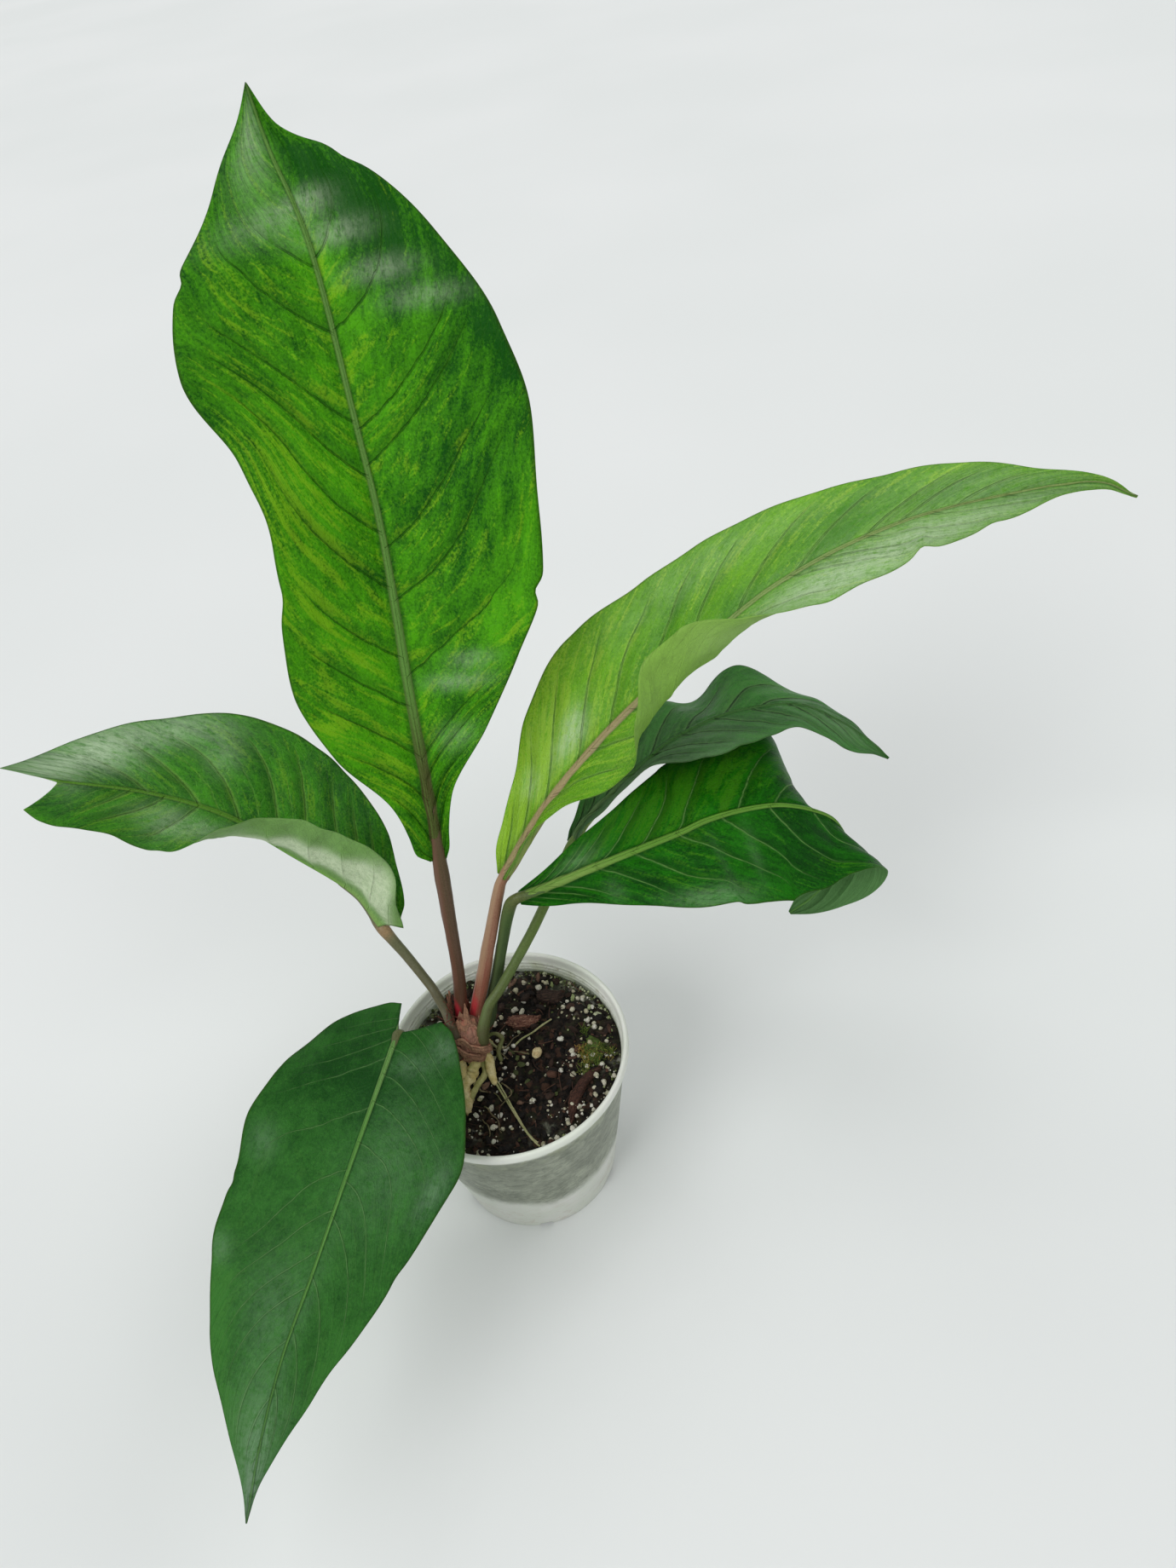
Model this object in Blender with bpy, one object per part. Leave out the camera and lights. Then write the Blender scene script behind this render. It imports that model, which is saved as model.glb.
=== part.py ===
"""A young anthurium in its translucent nursery pot: six leaves on a short raised crown with thick
stilt roots, standing in peat, bark and perlite.

Metres, +Z up. The pot stands on z = 0 and the object's origin is on that plane, under the middle of
the whole outline. Tables below are in millimetres from the middle of the pot's foot (the plant's own
centre line); the empty "plant" carries every piece to its place.
"""

import math

import bmesh
import bpy
import numpy as np
from mathutils import Vector

MM = 0.001

# ---------------------------------------------------------------- driving dimensions (mm, degrees)
POT_AT = (-47.0, 18.0)  # where the pot's centre line stands
GAP = 0.3  # between pieces that touch

RIM_R = 52.5  # outside radius of the lip
POT_H = 89.0
LIP_H = 4.2
UNDER_LIP_R = 50.8
FOOT_R = 36.4
WALL = 1.2
FLOOR_Z = 12.0  # underside of the raised floor
FLOOR_T = 1.3
FOOT_W = 2.2  # width of the ring that the pot stands on
RING_STEPS = 48
DRAIN_HOLES = 5
DRAIN_R = 3.5
DRAIN_AT = 21.0
NOTCHES = 6
NOTCH_W = 6.0
NOTCH_H = 2.4

SOIL_EDGE = 79.5
SOIL_DOME = 1.8

BLADE_T = 0.7  # leaf blade
RIB_DEPTH = 1.5  # how far the midrib stands out below the blade
RIB_HALF = 2.2
ROWS = 22  # stations along a leaf
ACROSS = (1.0, 0.75, 0.5, 0.25)  # stations from margin to midrib

# The crown: short upright stem, as (x, y, z, radius)
STEM = [(-14.5, 0.4, 89.8, 7.2), (-14.45, 0.5, 92.0, 8.2), (-13.8, 2.0, 96.0, 7.8), (-13.2, 4.2, 101.0, 7.0), (-12.6, 6.4, 105.4, 5.2)]

# Leaves. rib: midrib from the petiole to the tip. up: which way the upper face looks.
# wL, wR: half widths at a share of the length, on the left and right looking to the tip.
# foldL, foldR: angle of each half above the blade's flat; curlL, curlR: further turn by the margin.
# backL, backR: how far the margin is swept back towards the petiole (basal lobes, notched tip).
LEAVES = {
    "upright": dict(
        rib=[(-8, 28, 182), (-6, 36, 210), (-4, 48, 247), (0, 66, 303), (0, 80, 339), (-1, 98, 391), (-7, 112, 418), (-10, 124, 434)],
        up=(0, -1, 0.3),
        foldL=[(0, 30), (0.3, 32), (0.5, 38), (0.7, 25), (1, 20)],
        foldR=[(0, 15), (0.5, 5), (1, 10)],
        wL=[(0, 3), (0.02, 7), (0.05, 9), (0.1, 14), (0.2, 33), (0.3, 43), (0.35, 44), (0.5, 41), (0.6, 43), (0.7, 52), (0.8, 45), (0.9, 23), (0.96, 8), (1, 0.8)],
        wR=[(0, 3), (0.02, 5), (0.05, 6), (0.1, 9), (0.2, 27), (0.3, 42), (0.4, 54), (0.5, 56), (0.6, 59), (0.7, 54), (0.8, 40), (0.9, 17), (0.95, 5), (1, 0.8)],
    ),
    "lime": dict(
        rib=[(15, 24, 169), (35, 34, 190), (58, 42, 210), (79, 46, 227), (98, 48, 241), (136, 47, 269), (180, 42, 288), (231, 30, 298), (248, 22, 294)],
        up=(0, -0.2, 1),
        foldL=[(0, 20), (1, 20)],
        foldR=[(0, 50), (0.06, 60), (0.1, 52), (0.15, 35), (0.2, 24), (0.27, 22), (0.33, 32), (0.4, 46), (0.45, 44), (0.5, 36), (0.55, 24), (0.6, 15), (0.8, 8), (1, 5)],
        curlR=[(0, 0), (0.27, 0), (0.33, 20), (0.4, 45), (0.45, 40), (0.52, 8), (0.6, 0), (1, 0)],
        wL=[(0, 3), (0.03, 9), (0.07, 13), (0.12, 19), (0.2, 32), (0.3, 41), (0.4, 37), (0.5, 33), (0.6, 27), (0.7, 21), (0.8, 16), (0.9, 7), (0.95, 3), (1, 0.8)],
        wR=[(0, 3), (0.06, 9), (0.1, 14), (0.15, 24), (0.2, 33), (0.3, 38), (0.4, 36), (0.5, 32), (0.6, 28), (0.7, 23), (0.8, 18), (0.9, 7), (0.95, 4), (1, 0.8)],
    ),
    "rear": dict(
        rib=[(44, 44, 160), (52, 48, 169), (84, 60, 187), (100, 65, 192), (114, 68, 194), (131, 68, 195), (147, 64, 195), (162, 55, 189), (172, 47, 182), (177, 43, 177)],
        up=(0, -0.1, 1),
        roll=[(0, 10), (0.5, 17), (1, 17)],
        foldL=[(0, 20), (0.3, 8), (0.42, 6), (0.5, -8), (0.6, 12), (0.68, -5), (0.75, -15), (0.85, -20), (1, -20)],
        foldR=[(0, 28), (0.25, 28), (0.3, 24), (0.38, 10), (0.5, 5), (1, 4)],
        wL=[(0, 3), (0.05, 4.5), (0.1, 8.5), (0.2, 18), (0.35, 26), (0.5, 26), (0.55, 28), (0.6, 29), (0.65, 26), (0.7, 20), (0.8, 14), (0.9, 8), (1, 0.8)],
        wR=[(0, 3), (0.1, 7), (0.2, 11), (0.28, 13), (0.33, 17), (0.4, 27), (0.5, 32), (0.6, 30), (0.7, 25), (0.8, 18), (0.86, 17), (0.92, 13), (0.96, 6), (1, 0.8)],
    ),
    "front": dict(
        rib=[(20, 16, 164), (37, 16, 169), (53, 17, 173), (70, 18, 177), (87, 19, 181), (98, 21, 183), (112, 23, 183), (127, 24, 181), (140, 23, 176), (149, 23, 168), (153, 21, 158), (151, 18, 149), (144, 15, 141), (136, 12, 136), (127, 10, 132)],
        side=[(0, 0, -1, -0.1), (0.62, 0, -1, -0.1), (0.7, 0.05, -0.97, -0.2), (0.76, 0.45, -0.85, -0.2), (0.81, 0.66, -0.72, -0.15), (1, 0.7, -0.62, -0.36)],
        foldL=[(0, 10), (0.35, 2), (0.47, -1), (0.585, -1), (0.645, -18), (0.7, -48), (0.8, -48), (0.9, -30), (1, -5)],
        foldR=[(0, -10), (0.585, -15), (0.7, -12), (0.84, 0), (1, 0)],
        backR=[(0, 0), (0.65, 0), (0.78, -7), (0.9, -4), (1, 0)],
        wL=[(0, 3), (0.07, 8), (0.12, 12), (0.235, 22), (0.353, 32), (0.47, 39), (0.53, 44), (0.585, 44), (0.645, 36), (0.7, 27), (0.78, 18), (0.86, 13), (0.94, 7), (1, 0.8)],
        wR=[(0, 3), (0.02, 5), (0.07, 9), (0.12, 12), (0.235, 22), (0.353, 32), (0.47, 39), (0.585, 40), (0.66, 35), (0.72, 27), (0.77, 21.5), (0.82, 18), (0.88, 12), (0.94, 6.5), (1, 0.8)],
    ),
    "drooping": dict(
        rib=[(-42, 1, 112), (-51, -31, 115), (-62, -62, 113), (-76, -94, 105), (-88, -117, 96), (-98, -140, 84), (-105, -160, 72)],
        up=(0, 0, 1),
        roll=[(0, 0), (0.5, 12), (1, 12)],
        foldL=[(0, 0), (0.4, 0), (0.6, -25), (1, -25)],
        backL=[(0, 7), (0.04, 3), (0.1, 0), (1, 0)],
        backR=[(0, 15), (0.02, 18), (0.05, 18), (0.1, 16), (0.2, 10), (0.3, 4), (0.4, 0), (1, 0)],
        wL=[(0, 17), (0.02, 24), (0.1, 33), (0.2, 39), (0.3, 42), (0.4, 37), (0.5, 31), (0.6, 26), (0.7, 20), (0.8, 13), (0.9, 5), (1, 0.8)],
        wR=[(0, 3), (0.02, 9), (0.05, 20), (0.1, 29), (0.2, 40), (0.3, 45), (0.4, 42), (0.5, 41), (0.6, 37), (0.7, 29), (0.8, 18), (0.9, 8), (1, 0.8)],
    ),
    "left": dict(
        rib=[(-42, 35, 139), (-50, 44, 154), (-70, 52, 174), (-91, 56, 198), (-115, 54, 219), (-139, 46, 240)],
        up=(0, 0, 1),
        foldL=[(0, 100), (0.2, 85), (0.4, 65), (0.5, 50), (0.6, 30), (0.7, 8), (0.8, -2), (1, -10)],
        foldR=[(0, 40), (0.5, 25), (1, 25)],
        curlL=[(0, 20), (0.5, 30), (0.6, 10), (1, 0)],
        backL=[(0, 6), (0.05, 0), (0.5, 0), (0.7, -6), (0.8, -11), (0.9, -14), (1, -13)],
        backR=[(0, 3), (0.1, 0), (0.5, 0), (0.7, -6), (0.8, -9), (0.9, -14), (0.95, -18), (1, -20)],
        wL=[(0, 10), (0.03, 17), (0.06, 22), (0.1, 26), (0.2, 30), (0.4, 33), (0.5, 34), (0.6, 36), (0.7, 33), (0.8, 28), (0.9, 25), (1, 17)],
        wR=[(0, 8), (0.03, 14), (0.1, 20), (0.15, 29), (0.2, 35), (0.3, 42), (0.4, 46), (0.5, 48), (0.6, 45), (0.7, 38), (0.8, 30), (0.9, 18), (0.95, 9), (1, 3)],
    ),
}

# Petioles, as (x, y, z, radius) from the crown to just short of the blade
PETIOLES = {
    "upright": [(-15.6, 8.6, 107.0, 2.7), (-14.2, 11.0, 116.0, 2.8), (-12.0, 14.0, 131.0, 2.6), (-10.6, 19.0, 150.0, 2.7), (-8.9, 25.0, 172.0, 3.0), (-8.2, 27.5, 180.8, 2.8)],
    "lime": [(-9.2, 9.4, 107.0, 2.6), (-5.6, 11.6, 116.0, 2.8), (-1.6, 14.0, 127.0, 2.8), (5.0, 17.0, 146.0, 2.6), (11.6, 21.5, 163.0, 2.4), (14.2, 23.4, 168.0, 2.2)],
    "front": [(-3.6, 10.8, 101.0, 2.3), (-1.2, 13.2, 111.0, 2.5), (3.4, 15.2, 123.0, 2.5), (9.4, 16.4, 142.0, 2.4), (15.0, 16.4, 159.0, 2.6), (18.6, 16.1, 163.6, 2.3)],
    "rear": [(-6.2, -5.4, 96.0, 2.3), (-4.4, -2.6, 104.0, 2.6), (-1.2, 3.2, 113.0, 2.6), (5.2, 9.4, 121.4, 2.4), (13.2, 16.0, 128.3, 2.3), (22.4, 24.6, 136.5, 2.3), (34.0, 35.0, 149.0, 2.4), (43.0, 43.2, 158.8, 2.4)],
    "left": [(-24.4, 0.6, 97.0, 2.3), (-24.4, 3.6, 104.0, 2.6), (-26.6, 11.6, 113.4, 2.5), (-31.0, 21.0, 123.0, 2.4), (-37.2, 29.6, 134.0, 2.5), (-40.6, 33.0, 137.0, 2.7)],
    "drooping": [(-20.8, -7.0, 95.0, 2.3), (-23.6, -7.8, 101.0, 2.5), (-28.4, -5.8, 105.4, 2.5), (-34.4, -2.6, 107.6, 2.4), (-39.4, -0.4, 108.6, 2.2)],
}

# Stilt roots under the crown, as (x, y, z, radius)
ROOTS = {
    "left": [(-19.4, -2.0, 88.6, 1.8), (-19.6, -3.0, 86.6, 2.0), (-20.8, -6.4, 83.4, 2.0), (-22.0, -8.8, 79.0, 1.9), (-22.5, -9.5, 70.0, 1.3)],
    "knobbly": [(-15.6, -4.2, 88.6, 2.1), (-15.8, -5.6, 86.9, 2.2), (-17.2, -10.4, 84.8, 2.4), (-18.6, -15.4, 81.6, 2.2), (-19.2, -18.6, 77.0, 2.0), (-19.4, -19.4, 66.0, 1.2)],
    "middle": [(-11.4, -4.2, 88.6, 1.4), (-11.4, -5.2, 87.0, 1.5), (-12.4, -9.2, 84.8, 1.5), (-13.8, -13.4, 81.8, 1.5), (-14.6, -15.6, 77.0, 1.3), (-14.8, -16.0, 68.0, 0.9)],
    "blunt": [(-7.8, -1.4, 88.4, 1.9), (-7.5, -2.8, 87.2, 2.1), (-6.9, -6.8, 85.7, 2.3), (-6.5, -10.4, 84.2, 2.1), (-6.4, -11.8, 83.4, 1.4)],
    "rear_right": [(-10.8, 4.0, 88.6, 1.8), (-10.5, 5.2, 86.4, 1.9), (-8.8, 8.4, 82.4, 1.9), (-7.4, 10.6, 77.0, 1.7), (-7.0, 11.4, 68.0, 1.1)],
    "rear_left": [(-18.2, 4.0, 88.6, 1.8), (-18.6, 5.0, 86.4, 1.9), (-21.2, 7.8, 82.4, 1.9), (-23.0, 9.8, 77.0, 1.7), (-23.6, 10.4, 68.0, 1.1)],
    "to_rim": [(-6.0, 2.2, 87.6, 0.8), (-4.0, -1.6, 86.8, 0.9), (-2.4, -10.0, 84.8, 0.9), (-2.6, -21.0, 82.9, 0.9), (3.2, -34.6, 82.6, 0.9), (8.6, -42.6, 83.2, 0.8), (11.0, -45.4, 84.6, 0.6)],
    "surface": [(-4.6, 7.4, 83.6, 0.8), (0.6, 8.4, 82.8, 0.8), (6.6, 9.4, 82.8, 0.7), (15.0, 12.0, 83.6, 0.7), (21.6, 14.2, 84.2, 0.6), (27.4, 16.4, 82.6, 0.5)],
}

# Papery bracts left round the crown: start and end angle, bottom and top height, radius, lean
BRACTS = {
    "front": (-106, -74, 99.0, 111.5, 10.6, 0.4),
    "left": (128, 160, 98.0, 112.0, 9.0, 1.0),
    "back": (64, 92, 96.0, 106.5, 9.8, 0.8),
}
BRACT_AT = (-13.0, 5.0)
BRACT_T = 0.6

# Loose pieces on the soil: (x, y, length, width, height, turn)
CHIPS = {"bark_red": (6.5, 19.0, 14.0, 6.5, 3.4, 25.0), "bark_curved": (27.5, -31.0, 17.0, 6.0, 3.6, 40.0), "bark_dark": (20.5, 28.5, 11.0, 6.0, 3.0, -20.0)}
PEBBLE = (12.2, -1.6, 5.2, 4.0, 3.6, 70.0)
PERLITE = [(16.0, 34.0, 3.4), (-30.0, 24.0, 3.2), (36.0, 12.0, 3.0), (-5.0, 30.0, 3.0), (8.0, -24.0, 3.0), (23.0, 4.0, 3.2), (-31.0, -14.0, 3.2), (-9.0, -33.0, 3.0)]
MOSS = (36.5, -3.0, 13.0, 8.0, 3.4, 80.0)


# ---------------------------------------------------------------- helpers
def clear_scene():
    for obj in list(bpy.data.objects):
        bpy.data.objects.remove(obj, do_unlink=True)


def material(name, colour, roughness, metallic=0.0, alpha=1.0):
    mat = bpy.data.materials.new(name)
    mat.use_nodes = True
    shader = mat.node_tree.nodes["Principled BSDF"]
    shader.inputs["Base Color"].default_value = (*colour, 1.0)
    shader.inputs["Roughness"].default_value = roughness
    shader.inputs["Metallic"].default_value = metallic
    shader.inputs["Alpha"].default_value = alpha
    mat.diffuse_color = (*colour, 1.0)
    return mat


def place(name, data, mat, parent):
    obj = bpy.data.objects.new(name, data)
    bpy.context.scene.collection.objects.link(obj)
    data.materials.append(mat)
    obj.parent = parent
    return obj


def mesh_from(bm, name):
    bmesh.ops.recalc_face_normals(bm, faces=bm.faces)
    mesh = bpy.data.meshes.new(name)
    bm.to_mesh(mesh)
    bm.free()
    mesh.shade_smooth()
    mesh.set_sharp_from_angle(angle=math.radians(40))
    return mesh


def lathe(name, profile, steps=RING_STEPS):
    """Turn a closed (radius, height) profile, in mm, that begins and ends on the axis."""
    bm = bmesh.new()
    rings = []
    for r, z in profile:
        if r == 0:
            rings.append([bm.verts.new((0, 0, z * MM))])
            continue
        ring = []
        for k in range(steps):
            a = 2 * math.pi * k / steps
            ring.append(bm.verts.new((r * math.cos(a) * MM, r * math.sin(a) * MM, z * MM)))
        rings.append(ring)
    for low, high in zip(rings, rings[1:]):
        for k in range(steps):
            j = (k + 1) % steps
            if len(low) == 1:
                bm.faces.new((low[0], high[k], high[j]))
            elif len(high) == 1:
                bm.faces.new((low[k], low[j], high[0]))
            else:
                bm.faces.new((low[k], low[j], high[j], high[k]))
    return mesh_from(bm, name)


def tube(name, points, mat, parent, sides=2):
    """A round stalk or root through (x, y, z, radius) points, closed at both ends."""
    curve = bpy.data.curves.new(name, "CURVE")
    curve.dimensions = "3D"
    curve.bevel_depth = MM
    curve.bevel_resolution = sides
    curve.use_fill_caps = True
    path = smooth_path(np.array(points, float), 3 * (len(points) - 1))
    spline = curve.splines.new("POLY")
    spline.points.add(len(path) - 1)
    for point, (x, y, z, r) in zip(spline.points, path):
        point.co = (x * MM, y * MM, z * MM, 1.0)
        point.radius = r
    return place(name, curve, mat, parent)


def smooth_path(points, steps, ends=(0.0, 1.0)):
    """Catmull-Rom curve through the points, read at even steps."""
    n = len(points) - 1
    held = np.vstack([2 * points[0] - points[1], points, 2 * points[-1] - points[-2]])
    out = []
    for u in np.linspace(ends[0] * n, ends[1] * n, steps + 1):
        i = min(int(u), n - 1)
        t = u - i
        a, b, c, d = held[i : i + 4]
        out.append(0.5 * (2 * b + (c - a) * t + (2 * a - 5 * b + 4 * c - d) * t**2 + (3 * b - a - 3 * c + d) * t**3))
    return np.array(out)


def along(table, s):
    """Smooth value at s through (share, value) pairs, with no overshoot."""
    if table is None:
        return 0.0
    xs = [p[0] for p in table]
    ys = [p[1] for p in table]
    steps = [(ys[k + 1] - ys[k]) / (xs[k + 1] - xs[k]) for k in range(len(xs) - 1)]
    slopes = [steps[0]]
    for a, b in zip(steps, steps[1:]):
        slopes.append(0.0 if a * b <= 0 else 2 * a * b / (a + b))
    slopes.append(steps[-1])
    s = min(max(s, xs[0]), xs[-1])
    k = max(i for i in range(len(xs) - 1) if xs[i] <= s or i == 0)
    h = xs[k + 1] - xs[k]
    t = (s - xs[k]) / h
    return ys[k] * (1 + 2 * t) * (1 - t) ** 2 + h * slopes[k] * t * (1 - t) ** 2 + ys[k + 1] * t * t * (3 - 2 * t) + h * slopes[k + 1] * t * t * (t - 1)


class Blade:
    """A leaf's surface: a midrib curve with two folded, curling halves."""

    def __init__(self, spec):
        self.spec = spec
        self.rib = np.array(spec["rib"], float)
        fine = smooth_path(self.rib, 600)
        length = np.concatenate([[0.0], np.cumsum(np.linalg.norm(np.diff(fine, axis=0), axis=1))])
        self.fine = fine
        self.share = length / length[-1]

    def middle(self, s):
        return np.array([np.interp(s, self.share, self.fine[:, k]) for k in range(3)])

    def axes(self, s):
        before, after = self.middle(max(s - 0.01, 0.0)), self.middle(min(s + 0.01, 1.0))
        ahead = after - before
        ahead /= np.linalg.norm(ahead)
        if "side" in self.spec:
            aim = np.array([along([(row[0], row[k]) for row in self.spec["side"]], s) for k in (1, 2, 3)])
            right = aim - (aim @ ahead) * ahead
        else:
            right = np.cross(ahead, np.array(self.spec["up"], float))
        right /= np.linalg.norm(right)
        up = np.cross(right, ahead)
        roll = math.radians(along(self.spec.get("roll"), s))
        return ahead, math.cos(roll) * right + math.sin(roll) * up, math.cos(roll) * up - math.sin(roll) * right

    def point(self, s, t, side):
        """s: 0 at the petiole to 1 at the tip; t: 0 at the midrib to 1 at the margin; side: -1 left, 1 right."""
        key = "R" if side > 0 else "L"
        spec = self.spec
        ahead, right, up = self.axes(s)
        fold = math.radians(along(spec.get("fold" + key), s))
        curl = math.radians(along(spec.get("curl" + key), s)) or 1e-5
        width = along(spec["w" + key], s)
        out = width * (math.sin(fold + curl * t) - math.sin(fold)) / curl
        rise = width * (math.cos(fold) - math.cos(fold + curl * t)) / curl
        sweep = along(spec.get("back" + key), s) * t**1.3
        return self.middle(s) + side * out * right + rise * up - sweep * ahead


def leaf_mesh(name, spec):
    """The blade as one closed slab, thin at the margins and keeled under the midrib."""
    blade = Blade(spec)
    shares = [(k / ROWS) for k in range(ROWS + 1)]
    grid = []
    for s in shares:
        narrow = min(along(spec["wL"], s), along(spec["wR"], s))
        rib = min(RIB_HALF / max(narrow, 1e-6), 0.12)
        row = [blade.point(s, t, -1) for t in ACROSS] + [blade.point(s, rib, -1), blade.middle(s), blade.point(s, rib, 1)]
        row += [blade.point(s, t, 1) for t in reversed(ACROSS)]
        grid.append(row)
    grid = np.array(grid)
    down = np.gradient(grid, axis=0)
    over = np.gradient(grid, axis=1)
    normal = np.cross(over, down)
    normal /= np.linalg.norm(normal, axis=2)[:, :, None]
    mid = grid.shape[1] // 2
    for i, s in enumerate(shares):
        up = blade.axes(s)[2]
        if normal[i, mid] @ up < 0:
            normal[i] *= -1
    under = np.full(grid.shape[:2], BLADE_T / 2)
    for i, s in enumerate(shares):
        under[i, mid] += RIB_DEPTH * (1 - 0.75 * s)
    top = grid + normal * (BLADE_T / 2)
    low = grid - normal * under[:, :, None]
    bm = bmesh.new()
    above = [[bm.verts.new(Vector(p) * MM) for p in row] for row in top]
    below = [[bm.verts.new(Vector(p) * MM) for p in row] for row in low]
    rows, cols = grid.shape[:2]
    for i in range(rows - 1):
        for j in range(cols - 1):
            bm.faces.new((above[i][j], above[i][j + 1], above[i + 1][j + 1], above[i + 1][j]))
            bm.faces.new((below[i][j], below[i + 1][j], below[i + 1][j + 1], below[i][j + 1]))
        for j in (0, cols - 1):
            bm.faces.new((above[i][j], above[i + 1][j], below[i + 1][j], below[i][j]))
    for j in range(cols - 1):
        for i in (0, rows - 1):
            bm.faces.new((above[i][j], above[i][j + 1], below[i][j + 1], below[i][j]))
    bmesh.ops.triangulate(bm, faces=bm.faces)
    return mesh_from(bm, name)


def lump(name, size, seed, steps=1):
    """An irregular chip or grain, from an icosphere pushed in and out by fixed waves."""
    bm = bmesh.new()
    bmesh.ops.create_icosphere(bm, subdivisions=steps, radius=0.5)
    for v in bm.verts:
        x, y, z = v.co
        push = 1 + 0.12 * math.sin(9 * x + seed) + 0.10 * math.sin(11 * y + 2 * seed) + 0.08 * math.sin(7 * z + 3 * seed)
        v.co = Vector((x * size[0], y * size[1], z * size[2])) * push * MM
    return mesh_from(bm, name)


def soil_height(x, y):
    """Top of the soil at a place, in mm."""
    return SOIL_EDGE + SOIL_DOME * max(0.0, 1 - (x * x + y * y) / (POT_IN_TOP**2))


def cut(obj, cutter, label):
    cutter.hide_render = True
    cutter.display_type = "WIRE"
    modifier = obj.modifiers.new(label, "BOOLEAN")
    modifier.operation = "DIFFERENCE"
    modifier.object = cutter
    modifier.solver = "EXACT"


def outer_r(z):
    """Pot wall outside radius under the lip."""
    return FOOT_R + (UNDER_LIP_R - FOOT_R) * z / (POT_H - LIP_H)


POT_IN_TOP = outer_r(SOIL_EDGE) - WALL - GAP


# ---------------------------------------------------------------- the object
clear_scene()
plant = bpy.data.objects.new("plant", None)
bpy.context.scene.collection.objects.link(plant)
plant.location = (POT_AT[0] * MM, POT_AT[1] * MM, 0)
bpy.context.view_layer.update()

plastic = material("frosted_plastic", (0.80, 0.83, 0.80), 0.35, alpha=0.6)
peat = material("peat", (0.045, 0.032, 0.026), 0.95)
leaf_green = material("leaf_green", (0.06, 0.26, 0.035), 0.35)
leaf_lime = material("leaf_lime", (0.22, 0.45, 0.05), 0.35)
leaf_dark = material("leaf_dark", (0.02, 0.12, 0.03), 0.42)
stalk_brown = material("stalk_brown", (0.13, 0.09, 0.04), 0.4)
stalk_pink = material("stalk_pink", (0.42, 0.20, 0.14), 0.4)
stalk_green = material("stalk_green", (0.14, 0.22, 0.05), 0.4)
root_skin = material("root_skin", (0.62, 0.50, 0.27), 0.7)
papery = material("papery_bract", (0.26, 0.12, 0.07), 0.8)
bark = material("bark", (0.18, 0.08, 0.05), 0.9)
mineral = material("perlite", (0.72, 0.70, 0.64), 0.9)
moss = material("moss", (0.24, 0.26, 0.06), 0.95)

# Pot: one wall from the floor's middle up the inside, over the lip, down the outside to the foot ring
lip_under = POT_H - LIP_H
inner = [(0, FLOOR_Z + FLOOR_T), (outer_r(FLOOR_Z + FLOOR_T) - WALL, FLOOR_Z + FLOOR_T), (outer_r(lip_under) - WALL, lip_under), (RIM_R - 2.2, POT_H - 0.9), (RIM_R - 1.6, POT_H)]
outside = [(RIM_R - 0.5, POT_H), (RIM_R, POT_H - 0.6), (RIM_R, lip_under + 0.4), (RIM_R - 0.6, lip_under), (UNDER_LIP_R, lip_under - 0.3), (FOOT_R, 0)]
foot = [(FOOT_R - FOOT_W, 0), (outer_r(3.0) - WALL, 3.0), (outer_r(FLOOR_Z) - WALL, FLOOR_Z), (0, FLOOR_Z)]
pot = place("pot", lathe("pot", inner + outside + foot), plastic, plant)

bm = bmesh.new()
for k in range(NOTCHES):
    turn = 2 * math.pi * (k + 0.5) / NOTCHES
    made = bmesh.ops.create_cube(bm, size=1.0)["verts"]
    for v in made:
        x = v.co.x * 9.0 + FOOT_R - 1.5
        y = v.co.y * NOTCH_W
        z = v.co.z * 2 * NOTCH_H
        v.co = Vector((x * math.cos(turn) - y * math.sin(turn), x * math.sin(turn) + y * math.cos(turn), z)) * MM
for k in range(DRAIN_HOLES):
    turn = 2 * math.pi * k / DRAIN_HOLES
    made = bmesh.ops.create_cone(bm, cap_ends=True, segments=16, radius1=DRAIN_R * MM, radius2=DRAIN_R * MM, depth=4 * MM)["verts"]
    for v in made:
        v.co += Vector((DRAIN_AT * math.cos(turn), DRAIN_AT * math.sin(turn), FLOOR_Z + 0.6)) * MM
cutter = place("pot_cutter", mesh_from(bm, "pot_cutter"), plastic, plant)
cut(pot, cutter, "drainage")

# Soil: fills the pot from the floor to a low dome, with a channel for each stilt root
soil_low = FLOOR_Z + FLOOR_T + GAP
top = [(POT_IN_TOP * (1 - k / 4), soil_height(POT_IN_TOP * (1 - k / 4), 0)) for k in range(5)]
profile = [(0, soil_low), (outer_r(soil_low) - WALL - GAP, soil_low)] + top[:-1] + [(0, soil_height(0, 0))]
soil = place("soil", lathe("soil", profile), peat, plant)

for name, path in ROOTS.items():
    tube("root_" + name, path, root_skin, plant, 1)
    if path[-1][2] < soil_height(0, 0) - 6:
        wide = [(x, y, z, r + GAP + 0.15) for x, y, z, r in path]
        x, y, z, r = wide[-1]
        wide[-1] = (x, y, z - 1.0, r)
        hole = tube("channel_" + name, wide, root_skin, plant, 1)
        graph = bpy.context.evaluated_depsgraph_get()
        solid = bpy.data.meshes.new_from_object(hole.evaluated_get(graph))
        bpy.data.objects.remove(hole, do_unlink=True)
        bm = bmesh.new()
        bm.from_mesh(solid)
        bmesh.ops.remove_doubles(bm, verts=bm.verts, dist=0.00001)
        hole = place("channel_" + name, mesh_from(bm, "channel_" + name), root_skin, plant)
        cut(soil, hole, "channel_" + name)

# Crown
stem = tube("stem", STEM, papery, plant, 4)

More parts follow.
